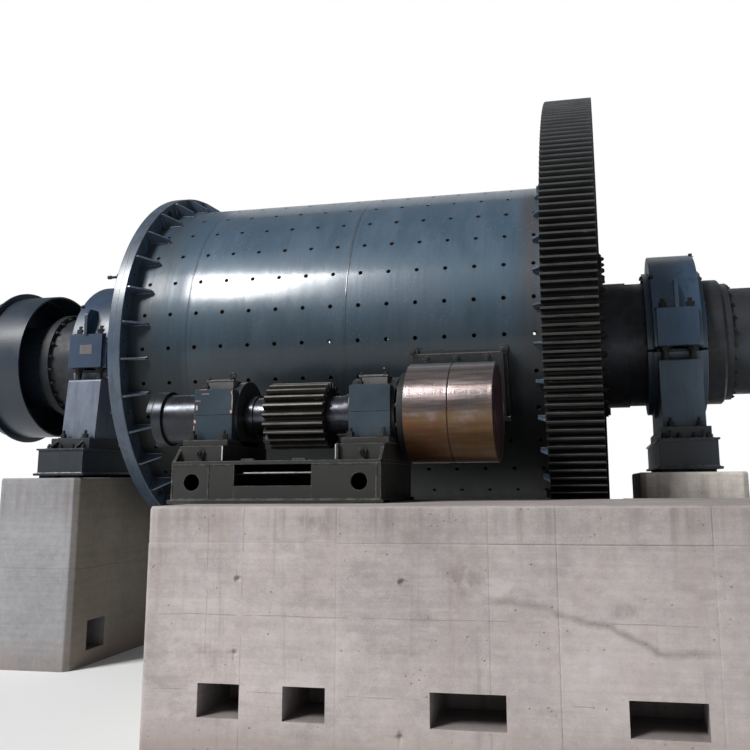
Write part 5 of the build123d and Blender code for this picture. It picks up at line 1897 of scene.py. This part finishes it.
@dataclass
class PinionRotor:
    """Turning part of the pinion assembly: shaft, pinion, coupling half and clutch drum."""

    teeth: int = 22
    module: float = 0.02
    half_face: float = 0.225
    shaft: float = 0.14
    journal: float = 0.12
    shaft_low: float = -1.100
    shaft_high: float = 1.423
    shoulder: tuple = (-0.393, 0.405)
    hub: tuple = (-1.025, -0.765, 0.18)
    flange: tuple = (-1.100, -1.025, 0.204)
    jaws: tuple = (-1.142, 0.11)
    jaw_angles: tuple = (191.0, 11.0)
    jaw_sweep: float = 88.0
    collar: tuple = (0.04, 0.152, 0.10)
    collar_inset: float = 0.02
    disc: tuple = (0.765, 0.823, 0.29)
    bolt_circle: float = 0.262
    drum: tuple = (0.823, 1.127, 1.431, 0.35)
    wall: float = 0.026
    half_gap: float = 0.0035
    plate: tuple = (1.399, 1.423)

    def pinion(self) -> Form:
        """Toothed pinion: its radius at each angle, with involute flanks, carried across the face."""
        pitch = self.module * self.teeth / 2
        base = pitch * math.cos(PRESSURE_ANGLE)
        root, tip = pitch - 1.25 * self.module, pitch + self.module
        radii = np.linspace(base + 0.002, tip, 6)
        spread_at = np.tan(np.arccos(base / radii)) - np.arccos(base / radii)
        at_pitch = math.tan(PRESSURE_ANGLE) - PRESSURE_ANGLE
        flank = np.pi / (2 * self.teeth) - (spread_at - at_pitch)
        side = np.concatenate([[flank[0] + 0.035, flank[0] + 0.012], flank, [flank[-1] * 0.8]])
        reach = np.concatenate([[root, root + 0.003], radii[:-1], [tip - 0.0012, tip]])
        turn = np.concatenate([-side, side[::-1]])
        radius = np.concatenate([reach, reach[::-1]])
        angles = (np.arange(self.teeth)[:, None] * 2 * np.pi / self.teeth + turn).ravel()
        outer = np.tile(radius, self.teeth)
        h, e = self.half_face, 0.004
        x = np.array([-h, -h, -h + e, h - e, h, h])
        bore = self.shaft - 0.002
        one = np.ones_like(outer)
        radii = np.stack([one * bore, outer - e, outer, outer, outer - e, one * bore], 1)
        return carried(on_front(x[None], radii, np.degrees(angles)[:, None]), ring=True)

    def build(self, palette: Palette, site: Site) -> None:
        """Builds the rotor's pieces."""
        low, high = self.shoulder
        corners = [(self.shaft_low, 0.0), (self.shaft_high + 0.004, 0.0),
                   (self.shaft_high + 0.004, self.journal), (high, self.journal), (high, self.shaft),
                   (low, self.shaft), (low, self.journal), (self.shaft_low, self.journal)]
        ease = (0.0, 0.0, 0.006, 0.006, 0.006, 0.006, 0.006, 0.003)
        (length, outer, inner), inset_by = self.collar, self.collar_inset
        collars = [tube(start, start + length, outer, inner, 0.004, 96)
                   for start in (low + inset_by, high - inset_by - length)]
        site.add("turned_shaft", join(lathe(eased(corners, ease), 96), *collars), palette.shaft, Slot.SHAFT,
                 "pinion_shaft")
        site.add("cut_pinion", self.pinion(), palette.pinion, Slot.GEAR, "pinion_gear", sharp=30)
        parts = [tube(*span, self.journal, 0.006, 96) for span in (self.hub, self.flange)]
        for first in self.jaw_angles:
            parts.append(tube(self.jaws[0], self.flange[0] + 0.002, self.flange[2], self.jaws[1], 0.004, 32,
                              first, first + self.jaw_sweep))
        site.add("jaw_coupling", join(*parts), palette.coupling, Slot.SHAFT, "jaw_coupling_half")
        a, b, r = self.disc
        face = join(tube(a, b, r, self.journal, 0.005, 96),
                    tube(a - 0.012, a + 0.004, 0.2, self.journal, 0.003, 96))
        site.add("clutch_plate", face, palette.bolts, Slot.SHAFT, "clutch_disc")
        bolts = Fastener(0.03, 0.011, 0.003).round(a, self.bolt_circle, even(12, 8), -1)
        start, mid, end, drum = self.drum
        site.add("clutch_bolts", bolts, palette.shaft, Slot.SHAFT)
        inner, gap = drum - self.wall, self.half_gap
        left = join(tube(start, mid - gap, drum, inner, 0.004, 216),
                    tube(mid - gap - 0.002, mid + 0.002, drum - 0.012, inner, 0.001, 216),
                    tube(start, start + 0.024, drum - 0.01, self.journal, 0.003, 144))
        right = tube(mid + gap, end, drum, inner, 0.004, 216)
        site.add("drum_near_half", left, palette.drum, Slot.DRUM, "clutch_drum_left")
        site.add("drum_far_half", right, palette.drum, Slot.DRUM, "clutch_drum_right")
        low, high = self.plate
        plate = join(tube(low, high, inner + 0.001, self.journal, 0.003, 144),
                     tube(low - 0.06, low, 0.165, self.journal, 0.003, 96),
                     tube(high - 0.002, high + 0.006, inner + 0.002, inner - 0.022, 0.003, 144),
                     lathe(eased([(high + 0.0045, 0.0), (high + 0.0075, 0.0), (high + 0.0075, 0.17),
                                  (high + 0.0006, 0.17)], (0.0, 0.0, 0.002, 0.0)), 96))
        site.add("drum_end_plate", plate, palette.end, Slot.END, "clutch_end_plate")


@dataclass(frozen=True)
class Pocket:
    """Rectangular recess in a side of a cast body.

    Attributes:
        centre: Point on the body's outline at the recess's middle.
        half: Half its width along the outline.
        low: Height of its floor.
        high: Height of its roof.
        depth: How far it goes in.
    """

    centre: tuple
    half: float
    low: float
    high: float
    depth: float


@dataclass
class CastBody:
    """Concrete body cast against boards, with worn edges, formwork lines and recesses.

    Attributes:
        name: Name of the piece.
        node: CAD node that it takes the place of.
        corners: Outline seen from above.
        low: Height of its foot.
        high: Height of its top.
        pockets: Its recesses.
        courses: Heights of the level formwork lines.
        joints: Points on the outline where upright formwork lines run.
        dimples: Tie holes as (x, y, z, radius).
        seed: Start of its random fields.
        splits: Pairs of points on the outline, seen from above, between which the end faces are divided,
            so that no face has a notch in it. Each pair starts on the front; the next lies before it.
    """

    name: str
    node: str
    corners: Sequence
    low: float
    high: float
    pockets: Sequence[Pocket] = ()
    courses: Sequence[float] = ()
    joints: Sequence = ()
    dimples: Sequence = ()
    seed: int = 1
    splits: Sequence = ()
    pitch: float = 0.045
    wear: float = 0.012

    def stations(self) -> tuple:
        """Points along the outline and their inward directions, denser at recesses and lines."""
        loop = eased(self.corners, self.wear, 5)
        points = []
        gap = 0.0012
        for a, b in zip(loop, np.roll(loop, -1, 0)):
            length = float(np.linalg.norm(b - a))
            along = (b - a) / length
            t = np.linspace(0, length, max(2, int(length / self.pitch) + 1))[:-1]
            if length > 0.05:
                extra = [t]
                for mark, offsets in ([(p.centre, (-p.half - gap, -p.half + gap, p.half - gap, p.half + gap))
                                       for p in self.pockets]
                                      + [(j, (-0.009, -0.004, 0.0, 0.004, 0.009)) for j in self.joints]
                                      + [(d[:2], tuple(np.linspace(-d[3], d[3], 7))) for d in self.dimples]):
                    off = np.array(mark) - a
                    if abs(off @ [-along[1], along[0]]) < 0.02 and 0 < off @ along < length:
                        extra.append(off @ along + np.array(offsets))
                t = np.unique(np.concatenate(extra).round(5))
                t = t[(t >= 0) & (t < length)]
            points.append(a + along * t[:, None])
        points = np.concatenate(points)
        ahead = np.roll(points, -1, 0) - np.roll(points, 1, 0)
        inward = np.stack([-ahead[:, 1], ahead[:, 0]], 1)
        inward /= np.linalg.norm(inward, axis=1, keepdims=True)
        return points, inward * winding(np.asarray(self.corners, float))

    def levels(self) -> np.ndarray:
        """Heights of the loops, denser at recesses, lines, tie holes and the top edge."""
        gap = 0.0012
        z = [np.arange(self.low, self.high, self.pitch), self.high
             - np.array([0.03, 0.018, 0.01, 0.004, 0.0])]
        for p in self.pockets:
            z.append(np.array([p.low - gap, p.low + gap, p.high - gap, p.high + gap]))
        for course in self.courses:
            z.append(course + np.array([-0.009, -0.004, 0.0, 0.004, 0.009]))
        for d in self.dimples:
            z.append(d[2] + np.linspace(-d[3], d[3], 7))
        z = np.unique(np.concatenate(z).round(5))
        return z[(z >= self.low) & (z <= self.high)]

    def form(self) -> Form:
        """The body as loops of its outline, each point moved inwards by the surface's depth.

        Depth is the sum of a slow waviness, a step per formwork panel, grooves at the formwork
        lines, round tie holes, the worn top edge with chips, and the recesses.
        """
        points, inward = self.stations()
        z = self.levels()
        grid = np.concatenate([np.broadcast_to(points[None], (len(z), *points.shape)),
                               np.broadcast_to(z[:, None, None], (len(z), len(points), 1))], -1)
        depth = 0.002 + 0.0016 * ripple(grid, 0.9, self.seed) + 0.0007 * ripple(grid, 0.13, self.seed + 1)
        panel = np.searchsorted(np.sort(self.courses), z)[:, None] * 7
        for joint in self.joints:
            off = (points - np.array(joint)[None]) @ np.array([1.0, 0.0])
            panel = panel + (off > 0)[None] * 3
            near = np.exp(-(np.linalg.norm(points - np.array(joint)[None], axis=1) / 0.004) ** 2)[None]
            depth = depth + 0.0026 * near
        depth = depth + 0.0016 * np.sin(panel * 2.4 + self.seed)
        for course in self.courses:
            depth = depth + 0.0032 * np.exp(-((z - course) / 0.004) ** 2)[:, None]
        for x, y, height, radius in self.dimples:
            away = np.linalg.norm(grid - np.array([x, y, height]), axis=-1) / radius
            depth = depth + 0.018 * np.clip(1.25 - away, 0, 1) ** 0.5 * (away < 1.25)
        below = np.maximum(self.high - z, 0.0)[:, None]
        chip = np.clip(ripple(grid, 0.16, self.seed + 2) - 0.25, 0, 1)
        depth = depth + (self.wear + 0.02 * chip) * np.clip(1 - below / 0.022, 0, 1) ** 2.2
        for p in self.pockets:
            off = points - np.array(p.centre)
            same_face = np.abs(np.sum(off * inward, 1)) < 0.01
            beside = np.linalg.norm(off, axis=1) < p.half
            inside = (same_face & beside)[None] & (z > p.low)[:, None] & (z < p.high)[:, None]
            depth = np.where(inside, p.depth, depth)
        turning = np.abs(inward[:, 0] * inward[:, 1]) > 0.01
        depth = np.where(turning[None], np.minimum(depth, 0.8 * self.wear), depth)
        grid[..., :2] += inward[None] * np.maximum(depth, 0.0003)[..., None]
        skin = carried(grid)
        return Form(skin.points, (skin.faces[0], *self.ends(points, len(z)))) if self.splits else skin

    def ends(self, points: np.ndarray, count: int) -> list:
        """Foot and top, each as the faces that the splits leave.

        Args:
            points: The outline's points, seen from above.
            count: Number of loops.

        Returns:
            Index arrays of the faces, the foot's turned over.
        """
        faces, rest = [], np.arange(len(points))
        for pair in self.splits:
            first, last = (int(np.argmin(np.linalg.norm(points[rest] - np.array(spot),
                                                        axis=1))) for spot in pair)
            faces.append(rest[first:last + 1])
            rest = np.concatenate([rest[:first + 1], rest[last:]])
        faces.append(rest)
        top = (count - 1) * len(points)
        return [face[None, ::-1] for face in faces] + [face[None] + top for face in faces]

    def build(self, palette: Palette, site: Site) -> None:
        """Builds the body."""
        site.add(self.name, self.form(), palette.concrete, Slot.CONCRETE, self.node, sharp=50)


@dataclass
class Foundations:
    """The two piers and the drive block."""

    floor: float = -2.82
    pier_top: float = -1.20
    pier_half: float = 0.40
    pier_depth: float = 1.455
    cut: float = 0.045
    block: tuple = (-0.522, 3.366, -3.50, -1.78)
    block_top: float = -1.3877
    pit: tuple = (1.703, 2.313, 0.20)

    def pier(self, side: str, x: float, inner: int) -> CastBody:
        """One pier about its bearing, its recess facing the drum."""
        h, d, c = self.pier_half, self.pier_depth, self.cut
        corners = [(x - h + c, -d), (x + h - c, -d), (x + h, -d + c), (x + h, d - c), (x + h - c, d),
                   (x - h + c, d), (x - h, d - c), (x - h, -d + c)]
        pocket = Pocket((x + inner * h, -1.045), 0.14, -2.69, -2.44, 0.35)
        return CastBody(f"{side}_cast_pier", f"{side}_pier", corners, self.floor, self.pier_top, [pocket],
                        courses=(-1.98,), seed=3 if side == "left" else 8)

    def drive_block(self) -> CastBody:
        """The long block under the pinion assembly, notched for the gear."""
        x0, x1, y0, y1 = self.block
        c = 0.025
        p0, p1, deep = self.pit
        corners = [(x0 + c, y0), (x1 - c, y0), (x1, y0 + c), (x1, y1 - c), (x1 - c, y1), (p1, y1),
                   (p1, y1 - deep), (p0, y1 - deep), (p0, y1), (x0 + c, y1), (x0, y1 - c), (x0, y0 + c)]
        pockets = [Pocket((x, y0), w / 2, -2.575, -2.39, 0.45) for x, w in
                   ((-0.028, 0.255), (0.490, 0.25), (1.427, 0.42), (2.484, 0.40))]
        joints = [(x, y0) for x in (0.676, 1.556, 1.934, 2.760)]
        dimples = [(1.059, y0, -1.808, 0.016), (1.048, y0, -2.630, 0.016), (0.070, y0, -1.804, 0.016),
                   (0.063, y0, -2.218, 0.016)]
        return CastBody("cast_drive_block", "drive_block", corners, self.floor, self.block_top, pockets,
                        courses=(-1.600,), joints=joints, dimples=dimples, seed=5,
                        splits=(((p1, y0), (p1, y1 - deep)), ((p0, y0), (p0, y1 - deep))))

    def build(self, palette: Palette, site: Site) -> None:
        """Builds the three bodies."""
        for body in (self.pier("left", LEFT_BEARING, 1), self.pier("right", RIGHT_BEARING, -1),
                     self.drive_block()):
            body.build(palette, site)


@dataclass
class Studio:
    """Pale floor, soft key light, even world and the camera."""

    camera_place: tuple = (2.3995395, -7.91541395, 1.58091448)
    yaw: float = 11.833278
    pitch: float = 10.346248
    roll: float = -0.478095
    lens: float = 42.2298
    shift: tuple = (-0.065147, -0.075066)
    sensor: float = 36.0
    sight: float = 500.0
    key_from: tuple = (-0.44, -0.60, 0.67)
    key_distance: float = 70.0
    key_size: float = 19.0
    key_power: float = 51000.0
    back_from: tuple = (-0.08, 0.84, 0.54)
    back_size: float = 53.2
    back_power: float = 3500.0
    lamps_aim: float = 2.4
    fill: float = 0.18
    fill_tint: tuple = (0.90, 0.95, 1.0, 1.0)
    floor_reach: float = 90.0
    floor_fade: tuple = (4.5, 11.0)

    def world(self) -> None:
        """White for the camera's own rays, a soft even fill for the light it sheds and for every other ray.
        """
        world = bpy.data.worlds.new("studio")
        bpy.context.scene.world = world
        world.use_nodes = True
        tree = world.node_tree
        tree.nodes.clear()
        path = tree.nodes.new("ShaderNodeLightPath")
        sheds = tree.nodes.new("ShaderNodeBackground")
        seen = tree.nodes.new("ShaderNodeBackground")
        mixer = tree.nodes.new("ShaderNodeMixShader")
        end = tree.nodes.new("ShaderNodeOutputWorld")
        sheds.inputs["Color"].default_value = self.fill_tint
        sheds.inputs["Strength"].default_value = self.fill
        seen.inputs["Strength"].default_value = 1.0
        seen.inputs["Color"].default_value = (1.0, 1.0, 1.0, 1.0)
        tree.links.new(path.outputs["Is Camera Ray"], mixer.inputs[0])
        tree.links.new(sheds.outputs[0], mixer.inputs[1])
        tree.links.new(seen.outputs[0], mixer.inputs[2])
        tree.links.new(mixer.outputs[0], end.inputs["Surface"])

    def floor(self, low: Vector, high: Vector) -> None:
        """Level sheet under the machine that turns to plain white away from it."""
        centre = (low + high) / 2
        mesh = bpy.data.meshes.new("floor")
        square = [(centre.x + sx * self.floor_reach, centre.y + sy * self.floor_reach, 0.0) for sx, sy in
                  ((-1, -1), (1, -1), (1, 1), (-1, 1))]
        mesh.from_pydata(square, [], [(0, 1, 2, 3)])
        floor = bpy.data.objects.new("floor", mesh)
        bpy.context.scene.collection.objects.link(floor)
        r = Recipe("floor")
        away = r.add("ShaderNodeVectorMath", {0: r.place(), 1: (centre.x, centre.y, 0.0)}, "Value",
                     operation="DISTANCE")
        white = r.add("ShaderNodeEmission", {"Color": (1, 1, 1, 1), "Strength": 1.0})
        r.done((0.86, 0.86, 0.85, 1.0), 0.85)
        share = r.grade(away, *self.floor_fade)
        mixer = r.add("ShaderNodeMixShader", {0: share, 1: r.shader.outputs[0], 2: white})
        end = next(n for n in r.tree.nodes if n.type == "OUTPUT_MATERIAL")
        r.feed(end.inputs["Surface"], mixer)
        mesh.materials.append(r.material)

    def lamp(self, name: str, direction: Sequence[float], distance: float, size: float, power: float,
             target: Vector) -> None:
        """Square lamp at a distance along a direction from a target, facing it."""
        data = bpy.data.lights.new(name, "AREA")
        data.size = size
        data.energy = power
        lamp = bpy.data.objects.new(name, data)
        bpy.context.scene.collection.objects.link(lamp)
        toward = Vector(direction).normalized()
        lamp.location = target + toward * distance
        lamp.rotation_euler = toward.to_track_quat("Z", "Y").to_euler()

    def camera(self) -> None:
        """Camera at the photographer's place, aimed by yaw, pitch and roll."""
        yaw, pitch, roll = (math.radians(v) for v in (self.yaw, self.pitch, self.roll))
        ahead = Vector((-math.sin(yaw) * math.cos(pitch), math.cos(yaw) * math.cos(pitch), math.sin(pitch)))
        level = Vector((math.cos(yaw), math.sin(yaw), 0.0))
        above = level.cross(ahead)
        right = level * math.cos(roll) + above * math.sin(roll)
        up = above * math.cos(roll) - level * math.sin(roll)
        data = bpy.data.cameras.new("camera")
        data.lens, data.sensor_width = self.lens, self.sensor
        data.shift_x, data.shift_y = self.shift
        data.clip_end = self.sight
        camera = bpy.data.objects.new("camera", data)
        bpy.context.scene.collection.objects.link(camera)
        turn = Matrix((right, up, -ahead)).transposed()
        camera.matrix_world = Matrix.Translation(Vector(self.camera_place)) @ turn.to_4x4()
        bpy.context.scene.camera = camera

    def build(self, low: Vector, high: Vector) -> None:
        """Sets the stage."""
        self.world()
        self.floor(low, high)
        target = Vector(((low.x + high.x) / 2, (low.y + high.y) / 2, self.lamps_aim))
        self.lamp("key", self.key_from, self.key_distance, self.key_size, self.key_power, target)
        self.lamp("back", self.back_from, self.key_distance, self.back_size, self.back_power, target)
        self.camera()
        bpy.context.scene.view_settings.view_transform = "Standard"


def main() -> None:
    """Builds every sub-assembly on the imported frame, then the stage."""
    logging.basicConfig(level=logging.INFO, format="%(message)s")
    low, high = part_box("mill_shell")
    mill = (low + high) / 2
    low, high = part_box("pinion_gear")
    pinion = (low + high) / 2
    shell = DrumShell()
    paint = ShellPaint(mill, tone(48, 74, 91), shell.first_hole, shell.pitch, shell.radius, shell.seams)
    palette = Palette.built(paint, mill, pinion)
    plan = (
        (Site(Body.DRUM, mill), (shell, EndFlange(), HeadEnd(), GirthGear(), Manhole(), Feeder(), Spout())),
        (Site(Body.GROUND, mill), (TrunnionBearing("left", LEFT_BEARING),
                                   TrunnionBearing("right", RIGHT_BEARING), Foundations())),
        (Site(Body.GROUND, pinion), (PinionStand(),)),
        (Site(Body.ROTOR, pinion), (PinionRotor(),)),
    )
    for site, parts in plan:
        for part in parts:
            part.build(palette, site)
            log.info("%s done", type(part).__name__)
    Studio().build(*first_bounds)


if __name__ == "__main__":
    main()
